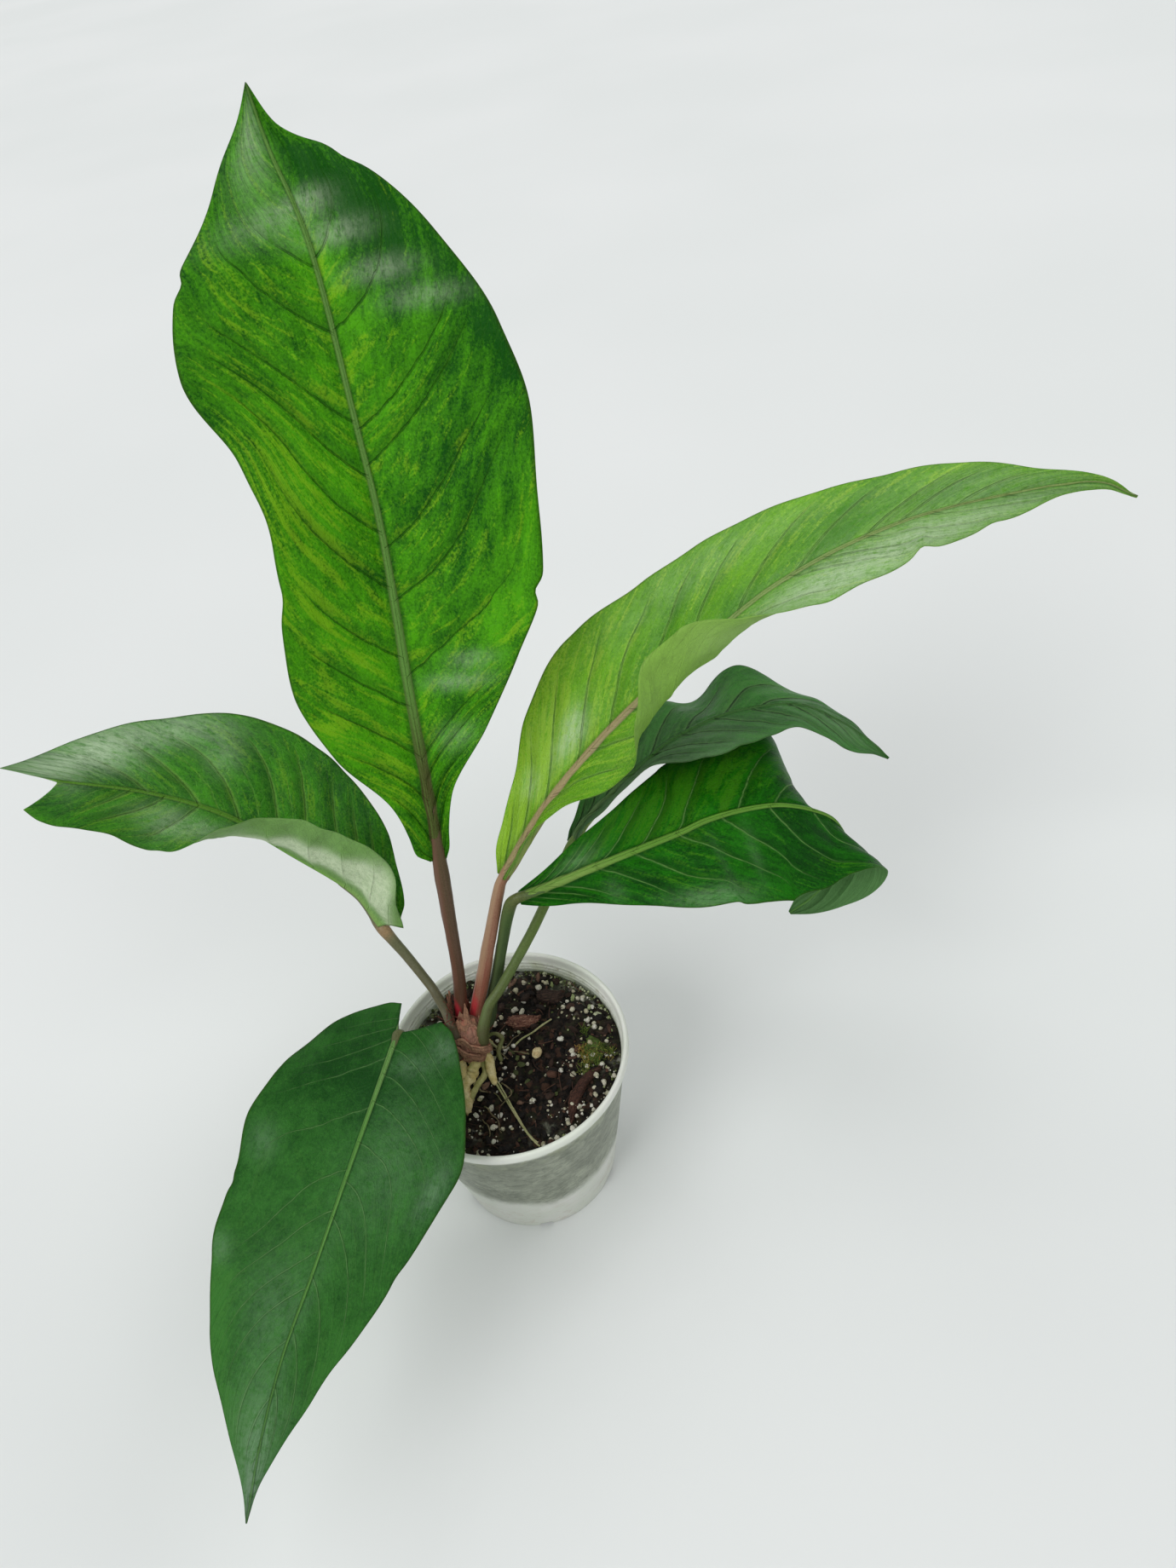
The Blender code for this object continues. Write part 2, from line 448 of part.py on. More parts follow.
# Bracts: thin curved plates standing round the crown
for name, (start, end, low, high, radius, lean) in BRACTS.items():
    bm = bmesh.new()
    rows = []
    for i in range(5):
        share = i / 4
        z = low + (high - low) * share
        half = 0.5 * (1 - 0.55 * share * share)
        row = []
        for j in range(7):
            a = math.radians(start + (end - start) * (0.5 + (j / 6 - 0.5) * 2 * half))
            for r in (radius + lean * share, radius + lean * share + BRACT_T):
                row.append(bm.verts.new(Vector((BRACT_AT[0] + r * math.cos(a), BRACT_AT[1] + r * math.sin(a), z)) * MM))
        rows.append(row)
    for a, b in zip(rows, rows[1:]):
        for j in range(0, 12, 2):
            bm.faces.new((a[j], a[j + 2], b[j + 2], b[j]))
            bm.faces.new((a[j + 1], b[j + 1], b[j + 3], a[j + 3]))
        bm.faces.new((a[0], b[0], b[1], a[1]))
        bm.faces.new((a[12], a[13], b[13], b[12]))
    for row in (rows[0], rows[-1]):
        for j in range(0, 12, 2):
            bm.faces.new((row[j], row[j + 1], row[j + 3], row[j + 2]))
    place("bract_" + name, mesh_from(bm, "bract_" + name), papery, plant)

# Petioles and blades
stalks = {"upright": stalk_brown, "lime": stalk_pink, "front": stalk_green, "rear": stalk_green, "left": stalk_brown, "drooping": stalk_brown}
blades = {"upright": leaf_green, "lime": leaf_lime, "front": leaf_dark, "rear": leaf_dark, "left": leaf_green, "drooping": leaf_dark}
for name, path in PETIOLES.items():
    tube("petiole_" + name, path, stalks[name], plant, 2)
for name, spec in LEAVES.items():
    place("leaf_" + name, leaf_mesh("leaf_" + name, spec), blades[name], plant)

# Loose pieces resting on the soil
for k, (name, (x, y, length, width, height, turn)) in enumerate(CHIPS.items()):
    chip = place(name, lump(name, (length, width, height), 1.3 * k + 0.4, 2), bark, plant)
    chip.location = Vector((x, y, soil_height(x, y) + 0.62 * height + GAP)) * MM
    chip.rotation_euler[2] = math.radians(turn)
x, y, length, width, height, turn = PEBBLE
stone = place("pebble", lump("pebble", (length, width, height), 2.2, 2), mineral, plant)
stone.location = Vector((x, y, soil_height(x, y) + 0.66 * height + GAP)) * MM
stone.rotation_euler[2] = math.radians(turn)
x, y, length, width, height, turn = MOSS
tuft = place("moss_tuft", lump("moss_tuft", (length, width, height), 4.1, 2), moss, plant)
tuft.location = Vector((x, y, soil_height(x, y) + 0.66 * height + GAP)) * MM
tuft.rotation_euler[2] = math.radians(turn)
for k, (x, y, size) in enumerate(PERLITE):
    grain = place("perlite_%d" % (k + 1), lump("perlite_%d" % (k + 1), (size, size * 0.85, size * 0.8), 0.9 * k, 1), mineral, plant)
    grain.location = Vector((x, y, soil_height(x, y) + 0.56 * size + GAP)) * MM
    grain.rotation_euler[2] = 0.7 * k
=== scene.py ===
"""The looks of a potted anthurium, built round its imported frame.

Tables are in millimetres from the middle of the pot's foot; make() carries them to the frame.
"""

import math

import bmesh
import bpy
import numpy as np
from mathutils import Matrix, Vector


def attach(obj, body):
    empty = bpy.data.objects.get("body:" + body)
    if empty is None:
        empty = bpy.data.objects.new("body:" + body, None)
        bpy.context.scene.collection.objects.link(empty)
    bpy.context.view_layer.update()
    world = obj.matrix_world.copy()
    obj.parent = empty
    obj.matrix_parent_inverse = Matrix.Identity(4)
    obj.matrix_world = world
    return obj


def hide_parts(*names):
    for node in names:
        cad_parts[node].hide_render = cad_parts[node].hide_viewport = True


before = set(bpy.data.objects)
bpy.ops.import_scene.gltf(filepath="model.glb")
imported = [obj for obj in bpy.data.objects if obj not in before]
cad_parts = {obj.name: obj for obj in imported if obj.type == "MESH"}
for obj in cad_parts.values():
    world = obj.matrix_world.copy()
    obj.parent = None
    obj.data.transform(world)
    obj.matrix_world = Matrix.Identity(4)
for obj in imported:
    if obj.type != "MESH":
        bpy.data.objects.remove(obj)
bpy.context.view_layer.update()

AT = np.array([-47.0, 18.0, 0.0])
MM = 0.001

# ---------------------------------------------------------------- camera
FOCAL_PX, FRAME_W, FRAME_H = 1382.0, 1380, 1840
PITCH, ROLL = math.radians(42.78), math.radians(10.40)
EYE = (0.0079, -0.2824, 0.5107)

camera = bpy.data.objects.new("camera", bpy.data.cameras.new("camera"))
bpy.context.scene.collection.objects.link(camera)
camera.data.sensor_fit = "AUTO"
camera.data.sensor_width = 24.0
camera.data.lens = FOCAL_PX / FRAME_H * 24.0
camera.data.clip_start, camera.data.clip_end = 0.01, 200.0
up = Vector((-math.sin(ROLL) * math.cos(PITCH), math.cos(ROLL) * math.cos(PITCH), math.sin(PITCH)))
ahead = Vector((0, 0, -1))
away = (ahead - up * ahead.dot(up)).normalized()
side = away.cross(up)
camera.matrix_world = Matrix.Translation(EYE) @ Matrix((side, away, up)).to_4x4()
bpy.context.scene.camera = camera

# ---------------------------------------------------------------- the plant's tables
# each leaf's tone and film are patches of (share along, signed share across, spread along, spread across, amount). tone
# lightens or darkens the green: partly the leaf's own mottling, partly painted light and shade where a blade faces away
# from the light or lies in another leaf's shadow. film lays in a painted whitish sheen and highlights.
LEAVES = {
    "upright": dict(
        rib=[(-8, 28, 182), (-6, 36, 210), (-4, 48, 247), (0, 66, 303), (0, 80, 339), (-1, 98, 391), (-7, 112, 418), (-10, 124, 434)],
        up=(0, -1, 0.3),
        foldL=[(0, 30), (0.3, 32), (0.5, 38), (0.7, 25), (1, 20)],
        foldR=[(0, 15), (0.5, 5), (1, 10)],
        wL=[(0, 4), (0.02, 9.5), (0.05, 11), (0.1, 15), (0.2, 33), (0.3, 43), (0.35, 44), (0.5, 41), (0.6, 43), (0.7, 52), (0.8, 45), (0.9, 22), (0.96, 6.5), (1, 0.25)],
        wR=[(0, 3), (0.02, 5), (0.05, 6), (0.1, 9), (0.2, 27), (0.3, 42), (0.4, 54), (0.5, 56), (0.6, 59), (0.7, 54), (0.8, 40), (0.9, 17), (0.95, 4.5), (1, 0.25)],
        veinsL=dict(starts=[0.085, 0.16, 0.235, 0.305, 0.403, 0.475, 0.546, 0.612, 0.718, 0.79, 0.86, 0.92], lean=[(0, 0.12), (1, 0.12)], bow=[(0, 0.0), (0.3, 0.03), (0.5, 0.06), (0.66, 0.2), (0.76, 0.08), (1, 0.04)]),
        veinsR=dict(starts=[0.06, 0.12, 0.155, 0.28, 0.385, 0.455, 0.56, 0.602, 0.72, 0.8, 0.87, 0.93], lean=[(0, 0.11), (1, 0.1)], bow=[(0, 0.02), (0.35, 0.05), (0.55, 0.14), (0.75, 0.08), (1, 0.03)]),
        ribs=[(0, 2.7), (0.12, 2.6), (0.22, 2.3), (0.36, 1.9), (0.55, 1.25), (0.8, 0.95), (1, 0.45)],
        quilt=1.0,
        seed=3.0,
        wave=[(0.5, 6.0, 0.1), (0.35, 11.0, 0.6)],
        nicks=[(-1, 0.805, 0.045, 0.012), (1, 0.385, 0.045, 0.012), (-1, 0.43, 0.02, 0.02), (1, 0.88, 0.05, 0.012)],
        tone=[(0.52, 0.62, 0.09, 0.25, -0.28), (0.8, 0.05, 0.05, 0.2, 0.45), (0.87, 0.5, 0.09, 0.45, -0.8), (0.7, 0.95, 0.09, 0.2, -0.8), (0.6, 0.3, 0.2, 0.25, 0.12), (0.25, -0.4, 0.15, 0.5, 0.25), (0.55, -0.6, 0.2, 0.45, 0.22), (0.72, -0.97, 0.12, 0.2, -0.35), (0.33, 0.75, 0.1, 0.25, 0.15), (0.12, -0.3, 0.08, 0.6, 0.15), (0.46, 0.85, 0.1, 0.25, 0.15), (0.56, -0.75, 0.2, 0.35, 0.2), (0.24, -0.85, 0.03, 0.12, 0.6)],
        film=[(0.94, -0.4, 0.05, 0.35, 0.46), (0.85, -0.25, 0.02, 0.5, 0.3), (0.86, 0.15, 0.012, 0.3, 0.42), (0.82, 0.25, 0.012, 0.3, 0.46), (0.775, 0.45, 0.012, 0.25, 0.42), (0.74, 0.65, 0.012, 0.25, 0.36), (0.27, 0.5, 0.012, 0.3, 0.36), (0.3, 0.6, 0.012, 0.2, 0.3), (0.19, 0.6, 0.02, 0.3, 0.22)],
    ),
    "lime": dict(
        rib=[(15, 24, 169), (35, 34, 190), (58, 42, 210), (79, 46, 227), (98, 48, 241), (136, 47, 269), (180, 42, 288), (231, 30, 298), (248, 22, 294)],
        up=(0, -0.2, 1),
        foldL=[(0, 20), (1, 20)],
        foldR=[(0, 50), (0.06, 60), (0.1, 54), (0.15, 40), (0.2, 27), (0.27, 14), (0.33, 6), (0.4, 4), (0.46, 2), (0.53, 3), (0.6, 5), (0.7, 6), (0.8, 8), (1, 5)],
        curlR=[(0, 0), (0.22, 0), (0.27, 18), (0.33, 78), (0.4, 122), (0.46, 126), (0.53, 76), (0.58, 20), (0.62, 0), (1, 0)],
        wL=[(0, 3), (0.03, 8.5), (0.07, 12), (0.12, 17.5), (0.2, 30), (0.3, 39), (0.4, 35.5), (0.5, 32), (0.6, 26.5), (0.7, 21), (0.8, 16), (0.9, 7), (0.95, 3), (1, 0.35)],
        wR=[(0, 3), (0.06, 8), (0.1, 12), (0.15, 19), (0.2, 24.5), (0.25, 28), (0.3, 32), (0.4, 40.5), (0.46, 40), (0.5, 34.5), (0.55, 25.5), (0.6, 20.8), (0.7, 21.3), (0.8, 18), (0.9, 7), (0.95, 4), (1, 0.35)],
        veinsL=dict(starts=[0.04, 0.11, 0.19, 0.26, 0.33, 0.4, 0.495, 0.585, 0.68, 0.722, 0.79, 0.86, 0.92], lean=[(0, 0.14), (0.4, 0.19), (0.6, 0.18), (1, 0.1)], bow=[(0, 0.0), (1, 0.0)]),
        veinsR=dict(starts=[0.05, 0.13, 0.22, 0.3, 0.39, 0.47, 0.575, 0.62, 0.68, 0.76, 0.84, 0.91], lean=[(0, 0.14), (0.4, 0.17), (0.6, 0.2), (0.8, 0.2), (1, 0.15)], bow=[(0, 0.0), (1, 0.0)]),
        ribs=[(0, 2.4), (0.1, 2.4), (0.25, 1.9), (0.42, 1.2), (0.7, 0.8), (1, 0.35)],
        quilt=0.5,
        seed=11.0,
        wave=[(0.6, 5.0, 0.3), (0.45, 12.0, 0.2)],
        nicks=[(1, 0.745, 0.16, 0.012), (1, 0.83, 0.1, 0.014)],
        tone=[(0.4, -0.4, 0.08, 0.4, -0.15), (0.5, -0.15, 0.03, 0.15, -0.5), (0.13, -0.6, 0.14, 0.6, 0.85), (0.04, -0.6, 0.06, 0.8, 0.5), (0.2, 0.7, 0.1, 0.4, 0.3), (0.3, -0.6, 0.1, 0.5, 0.2), (0.75, -0.3, 0.08, 0.3, -0.45), (0.66, -0.2, 0.04, 0.2, -0.35), (0.9, 0.0, 0.08, 0.8, -0.4)],
        film=[(0.85, -0.5, 0.15, 0.6, 0.2), (0.68, 0.6, 0.24, 0.5, 0.75), (0.215, -0.3, 0.035, 0.13, 0.6), (0.235, -0.42, 0.02, 0.1, 0.35), (0.13, -0.55, 0.02, 0.22, 0.3), (0.5, -0.75, 0.15, 0.25, 0.2)],
    ),
    "rear": dict(
        rib=[(44, 44, 160), (52, 48, 169), (84, 60, 187), (100, 65, 192), (114, 68, 194), (131, 68, 195), (147, 64, 195), (162, 55, 189), (172, 47, 182), (177, 43, 177)],
        up=(0, -0.1, 1),
        roll=[(0, 10), (0.5, 17), (1, 17)],
        foldL=[(0, 20), (0.3, 8), (0.42, 6), (0.5, -8), (0.6, 12), (0.68, -5), (0.75, -15), (0.85, -20), (1, -20)],
        foldR=[(0, 28), (0.25, 28), (0.3, 24), (0.38, 10), (0.5, 5), (1, 4)],
        wL=[(0, 3), (0.05, 4.5), (0.1, 8.5), (0.2, 18), (0.35, 26), (0.5, 26), (0.55, 28), (0.6, 29), (0.65, 26), (0.7, 20), (0.8, 14), (0.9, 8), (1, 0.8)],
        wR=[(0, 3), (0.1, 7), (0.2, 11), (0.28, 13), (0.33, 17), (0.4, 27), (0.5, 32), (0.6, 30), (0.7, 25), (0.8, 18), (0.86, 17), (0.92, 13), (0.96, 6), (1, 0.8)],
        veinsL=dict(starts=[0.06, 0.14, 0.22, 0.31, 0.42, 0.53, 0.63, 0.72, 0.8, 0.88], lean=[(0, 0.18), (1, 0.16)], bow=[(0, 0.0), (1, 0.02)]),
        veinsR=dict(starts=[0.05, 0.13, 0.21, 0.3, 0.4, 0.5, 0.6, 0.7, 0.8, 0.89], lean=[(0, 0.26), (1, 0.2)], bow=[(0, 0.05), (1, 0.05)]),
        ribs=[(0, 1.9), (0.3, 1.4), (0.6, 0.9), (1, 0.4)],
        quilt=0.6,
        seed=23.0,
        wave=[(0.5, 4.0, 0.1), (0.3, 9.0, 0.5)],
        nicks=[],
        tone=[(0.6, -0.4, 0.25, 0.5, 0.2), (0.5, 0.9, 0.3, 0.15, 0.3), (0.85, 0.3, 0.12, 0.6, 0.25)],
        film=[(0.4, 0.5, 0.2, 0.6, 0.25), (0.15, 0.5, 0.15, 0.8, 0.3), (0.3, 0.9, 0.2, 0.12, 0.3), (0.85, 0.2, 0.1, 0.5, 0.25)],
    ),
    "front": dict(
        rib=[(20, 16, 164), (37, 16, 169), (53, 17, 173), (70, 18, 177), (87, 19, 181), (98, 21, 183), (112, 23, 183), (127, 24, 181), (140, 23, 176), (149, 23, 168), (153, 21, 158), (151, 18, 149), (144, 15, 141), (136, 12, 136), (127, 10, 132)],
        side=[(0, 0, -1, -0.1), (0.62, 0, -1, -0.1), (0.7, 0.05, -0.97, -0.2), (0.76, 0.45, -0.85, -0.2), (0.81, 0.66, -0.72, -0.15), (1, 0.7, -0.62, -0.36)],
        foldL=[(0, 10), (0.35, 2), (0.47, -1), (0.585, -1), (0.645, -18), (0.7, -48), (0.8, -48), (0.9, -30), (1, -5)],
        foldR=[(0, -10), (0.585, -15), (0.7, -12), (0.84, 0), (1, 0)],
        backR=[(0, 0), (0.65, 0), (0.78, -7), (0.9, -4), (1, 0)],
        wL=[(0, 3), (0.07, 8), (0.12, 12), (0.235, 22), (0.353, 32), (0.47, 39), (0.53, 44), (0.585, 44), (0.645, 36), (0.7, 27), (0.78, 18), (0.86, 13), (0.94, 7), (1, 0.8)],
        wR=[(0, 3), (0.02, 5), (0.07, 9), (0.12, 12), (0.235, 22), (0.353, 32), (0.47, 39), (0.585, 40), (0.66, 35), (0.72, 27), (0.77, 21.5), (0.82, 18), (0.88, 12), (0.94, 6.5), (1, 0.8)],
        veinsL=dict(starts=[0.03, 0.09, 0.18, 0.275, 0.36, 0.495, 0.575, 0.66, 0.75, 0.84, 0.92], lean=[(0, 0.18), (0.5, 0.14), (1, 0.1)], bow=[(0, 0.0), (1, 0.02)]),
        veinsR=dict(starts=[0.02, 0.065, 0.17, 0.255, 0.36, 0.455, 0.56, 0.66, 0.76, 0.85, 0.93], lean=[(0, 0.15), (0.4, 0.14), (1, 0.14)], bow=[(0, 0.0), (0.3, 0.04), (0.55, 0.14), (0.8, 0.08), (1, 0.04)]),
        ribs=[(0, 2.3), (0.1, 2.1), (0.3, 1.6), (0.6, 1.05), (1, 0.4)],
        quilt=0.75,
        seed=31.0,
        wave=[(0.5, 5.0, 0.7)],
        nicks=[],
        tone=[(0.62, 0.3, 0.1, 0.5, -0.4), (0.35, -0.55, 0.25, 0.5, 0.75), (0.3, 0.3, 0.2, 0.4, 0.05)],
        film=[(0.38, 0.9, 0.08, 0.14, 0.4), (0.2, 0.7, 0.02, 0.3, 0.16), (0.14, -0.4, 0.05, 0.3, 0.4), (0.5, 0.45, 0.014, 0.3, 0.14), (0.42, 0.5, 0.012, 0.35, 0.1)],
    ),
    "drooping": dict(
        rib=[(-42, 1, 112), (-51, -31, 115), (-62, -62, 113), (-76, -94, 105), (-88, -117, 96), (-98, -140, 84), (-105, -160, 72)],
        up=(0, 0, 1),
        roll=[(0, 0), (0.5, 12), (1, 12)],
        foldL=[(0, 0), (0.4, 0), (0.6, -25), (1, -25)],
        backL=[(0, 7), (0.04, 3), (0.1, 0), (1, 0)],
        backR=[(0, 16), (0.02, 19.5), (0.05, 19.5), (0.1, 18), (0.2, 12), (0.3, 5), (0.4, 0), (1, 0)],
        wL=[(0, 17), (0.02, 23.5), (0.1, 32), (0.2, 38.3), (0.3, 42), (0.4, 37), (0.5, 31), (0.6, 26), (0.7, 20), (0.8, 13), (0.9, 5), (0.96, 1.4), (1, 0.3)],
        wR=[(0, 3), (0.02, 9.5), (0.05, 21), (0.1, 31), (0.2, 42), (0.3, 46), (0.4, 42), (0.5, 41), (0.6, 37), (0.7, 29), (0.8, 18), (0.9, 7.5), (0.96, 2.2), (1, 0.3)],
        veinsL=dict(starts=[0.045, 0.12, 0.19, 0.288, 0.37, 0.445, 0.56, 0.66, 0.76, 0.86], lean=[(0, 0.04), (0.3, 0.05), (0.5, 0.15), (1, 0.18)], bow=[(0, 0.2), (0.4, 0.2), (0.6, 0.14), (1, 0.08)]),
        veinsR=dict(starts=[0.0, 0.065, 0.2, 0.345, 0.43, 0.51, 0.58, 0.68, 0.78, 0.87], lean=[(0, 0.18), (0.25, 0.21), (0.4, 0.14), (0.55, 0.2), (1, 0.2)], bow=[(0, 0.1), (0.3, 0.0), (0.45, 0.18), (0.6, 0.06), (1, 0.05)]),
        ribs=[(0, 1.3), (0.3, 0.85), (0.55, 0.55), (1, 0.25)],
        quilt=0.14,
        seed=41.0,
        wave=[(0.7, 4.0, 0.0), (0.4, 9.0, 0.3)],
        nicks=[(-1, 0.52, 0.015, 0.02), (1, 0.43, 0.018, 0.015)],
        tone=[(0.12, -0.3, 0.12, 0.6, -0.3), (0.15, 0.4, 0.12, 0.5, -0.35), (0.45, 0.95, 0.1, 0.2, -0.3), (0.95, 0.2, 0.12, 0.9, 1.5), (0.7, 0.9, 0.25, 0.2, 0.5), (0.7, -0.9, 0.12, 0.3, 0.4), (0.6, 0.0, 0.25, 0.6, 0.2)],
        film=[(0.34, 0.8, 0.035, 0.12, 0.22), (0.56, 0.93, 0.03, 0.12, 0.26), (0.62, -0.05, 0.22, 0.14, 0.08), (0.3, -0.4, 0.15, 0.4, 0.16), (0.62, 0.3, 0.1, 0.3, 0.14), (0.09, -0.35, 0.03, 0.3, 0.26), (0.05, -0.8, 0.03, 0.2, 0.4), (0.9, 0.0, 0.1, 0.8, 0.5), (0.35, -0.85, 0.06, 0.1, 0.3), (0.97, 0.0, 0.05, 1.0, 0.8), (0.78, 0.2, 0.15, 0.4, 0.1)],
    ),
    "left": dict(
        rib=[(-41.6, 36.0, 141.8), (-49.6, 44.5, 155.5), (-70, 52, 176), (-91, 56, 200), (-115, 54.5, 220), (-139, 46, 240)],
        up=(0, 0, 1),
        foldL=[(0, 100), (0.1, 82), (0.2, 68), (0.3, 58), (0.4, 42), (0.46, 20), (0.52, 0), (0.58, -8), (0.65, -5), (0.7, -2), (0.8, -4), (1, -10)],
        foldR=[(0, 40), (0.5, 25), (1, 25)],
        curlL=[(0, 20), (0.2, 30), (0.3, 42), (0.4, 66), (0.46, 94), (0.52, 110), (0.58, 88), (0.63, 46), (0.68, 14), (0.72, 2), (0.8, 0), (1, 0)],
        backL=[(0, 6), (0.05, 0), (0.5, 0), (0.7, -6), (0.8, -11), (0.9, -14), (1, -13)],
        backR=[(0, 3), (0.1, 0), (0.5, 0), (0.7, -6), (0.8, -9), (0.9, -14), (0.95, -18), (1, -20)],
        wL=[(0, 10), (0.03, 18), (0.06, 25), (0.1, 31), (0.2, 36), (0.3, 35), (0.4, 33), (0.5, 32), (0.6, 36.5), (0.7, 32), (0.8, 28), (0.9, 25.5), (0.97, 22), (1, 17)],
        wR=[(0, 8), (0.03, 14), (0.1, 20), (0.15, 28), (0.2, 33), (0.3, 40), (0.4, 44), (0.5, 46), (0.6, 43.5), (0.7, 35.5), (0.8, 27), (0.9, 15.5), (0.95, 7.8), (1, 2.4)],
        veinsL=dict(starts=[0.05, 0.15, 0.26, 0.38, 0.5, 0.63, 0.722, 0.81, 0.95], lean=[(0, 0.12), (0.7, 0.12), (0.85, 0.17), (1, 0.08)], bow=[(0, 0.0), (1, 0.0)]),
        veinsR=dict(starts=[0.02, 0.09, 0.17, 0.28, 0.38, 0.51, 0.627, 0.765, 0.88, 0.97], lean=[(0, 0.15), (0.45, 0.2), (0.7, 0.24), (0.9, 0.14), (1, 0.06)], bow=[(0, 0.08), (0.4, 0.02), (1, 0.0)]),
        ribs=[(0, 2.2), (0.3, 1.5), (0.6, 1.15), (1, 0.7)],
        quilt=0.95,
        seed=53.0,
        wave=[(0.5, 5.0, 0.2), (0.3, 10.0, 0.4)],
        nicks=[],
        tone=[(0.5, 0.5, 0.2, 0.4, 0.05), (0.2, 0.7, 0.1, 0.3, -0.15), (0.75, -0.5, 0.15, 0.4, 0.3), (0.95, -0.75, 0.05, 0.2, -0.3)],
        film=[(0.86, 0.7, 0.09, 0.35, 0.95), (0.7, 0.85, 0.1, 0.2, 0.5), (0.97, 0.5, 0.05, 0.6, 0.6), (0.6, 0.55, 0.04, 0.2, 0.25), (0.7, -0.45, 0.08, 0.35, 0.25), (0.3, -0.42, 0.3, 0.24, 1.0), (0.1, -0.6, 0.08, 0.4, 0.9)],
    ),
}

PETIOLES = {
    "upright": [(-15.6, 8.6, 107.0, 2.7), (-14.2, 11.0, 116.0, 2.8), (-12.0, 14.0, 131.0, 2.6), (-10.6, 19.0, 150.0, 2.7), (-8.9, 25.0, 172.0, 3.0), (-8.2, 27.5, 180.8, 2.8)],
    "lime": [(-9.2, 9.4, 107.0, 2.8), (-5.6, 11.6, 116.0, 3.0), (-1.6, 14.0, 127.0, 2.9), (5.0, 17.0, 146.0, 2.6), (11.6, 21.5, 163.0, 2.4), (14.2, 23.4, 168.0, 2.2)],
    "front": [(-3.6, 10.8, 101.0, 2.3), (-1.2, 13.2, 111.0, 2.5), (3.4, 15.2, 123.0, 2.5), (9.4, 16.4, 142.0, 2.4), (15.0, 16.4, 159.0, 2.6), (18.6, 16.1, 163.6, 2.3)],
    "rear": [(-7.9, -1.1, 103.5, 2.8), (-5.0, 0.8, 111.0, 2.4), (-2.0, 3.0, 117.0, 2.2), (3.0, 6.1, 121.2, 2.1), (8.1, 10.5, 125.2, 2.1), (12.3, 14.4, 128.4, 2.1), (22.6, 24.6, 136.5, 2.15), (34.0, 35.0, 149.0, 2.3), (43.0, 43.2, 158.8, 2.4)],
    "left": [(-17.9, -1.0, 103.0, 2.0), (-19.4, 0.8, 107.4, 1.85), (-20.7, 4.0, 111.4, 1.75), (-21.7, 7.6, 113.9, 1.95), (-24.2, 12.7, 118.9, 2.0), (-26.6, 16.6, 121.7, 2.0), (-33.6, 26.0, 130.1, 2.10), (-38.3, 31.2, 136.3, 2.35), (-40.6, 34.0, 139.1, 2.70)],
    "drooping": [(-21.2, -6.0, 97.6, 2.1), (-24.0, -7.2, 101.6, 2.3), (-28.4, -5.8, 105.4, 2.5), (-34.4, -2.6, 107.6, 2.4), (-39.4, -0.4, 108.6, 2.2)],
}
# how each stalk comes out of the crown: two points below its first one, as (x, y, z, radius)
FEET = {
    "upright": [(-14.0, 3.6, 97.0, 3.6), (-15.0, 6.4, 102.0, 3.2)],
    "lime": [(-12.5, 4.0, 97.0, 3.6), (-10.6, 7.2, 102.0, 3.2)],
    "front": [(-11.0, 5.5, 92.5, 2.8), (-6.2, 9.0, 96.5, 2.5)],
    "rear": [(-11.2, -1.0, 94.0, 2.4), (-9.4, -2.0, 98.0, 3.1)],
    "left": [(-14.2, 1.6, 95.0, 2.4), (-16.2, -0.8, 99.0, 2.2)],
    "drooping": [(-15.5, -0.5, 94.0, 2.4), (-18.8, -3.2, 95.4, 2.1)],
}
# how far each stalk runs on under its midrib: (share of the blade, radius, depth below the blade)
RUN_ON = {
    "upright": [(0.03, 2.7, 0.8), (0.08, 2.4, 1.0), (0.15, 1.9, 1.2), (0.24, 1.2, 1.2)],
    "lime": [(0.02, 2.4, 0.8), (0.06, 2.2, 1.0), (0.12, 1.8, 1.2), (0.2, 1.2, 1.2)],
    "front": [(0.02, 2.4, 0.8), (0.06, 2.1, 1.1), (0.12, 1.7, 1.2), (0.2, 1.1, 1.2)],
    "rear": [(0.02, 2.1, 0.8), (0.07, 1.7, 1.0), (0.15, 1.1, 1.0)],
    "left": [(0.0, 2.9, 1.2), (0.04, 2.3, 1.2), (0.1, 1.7, 1.2), (0.18, 1.1, 1.1)],
    "drooping": [(0.0, 2.2, 0.9), (0.03, 1.9, 1.0), (0.08, 1.5, 1.0), (0.15, 1.0, 1.0)],
}


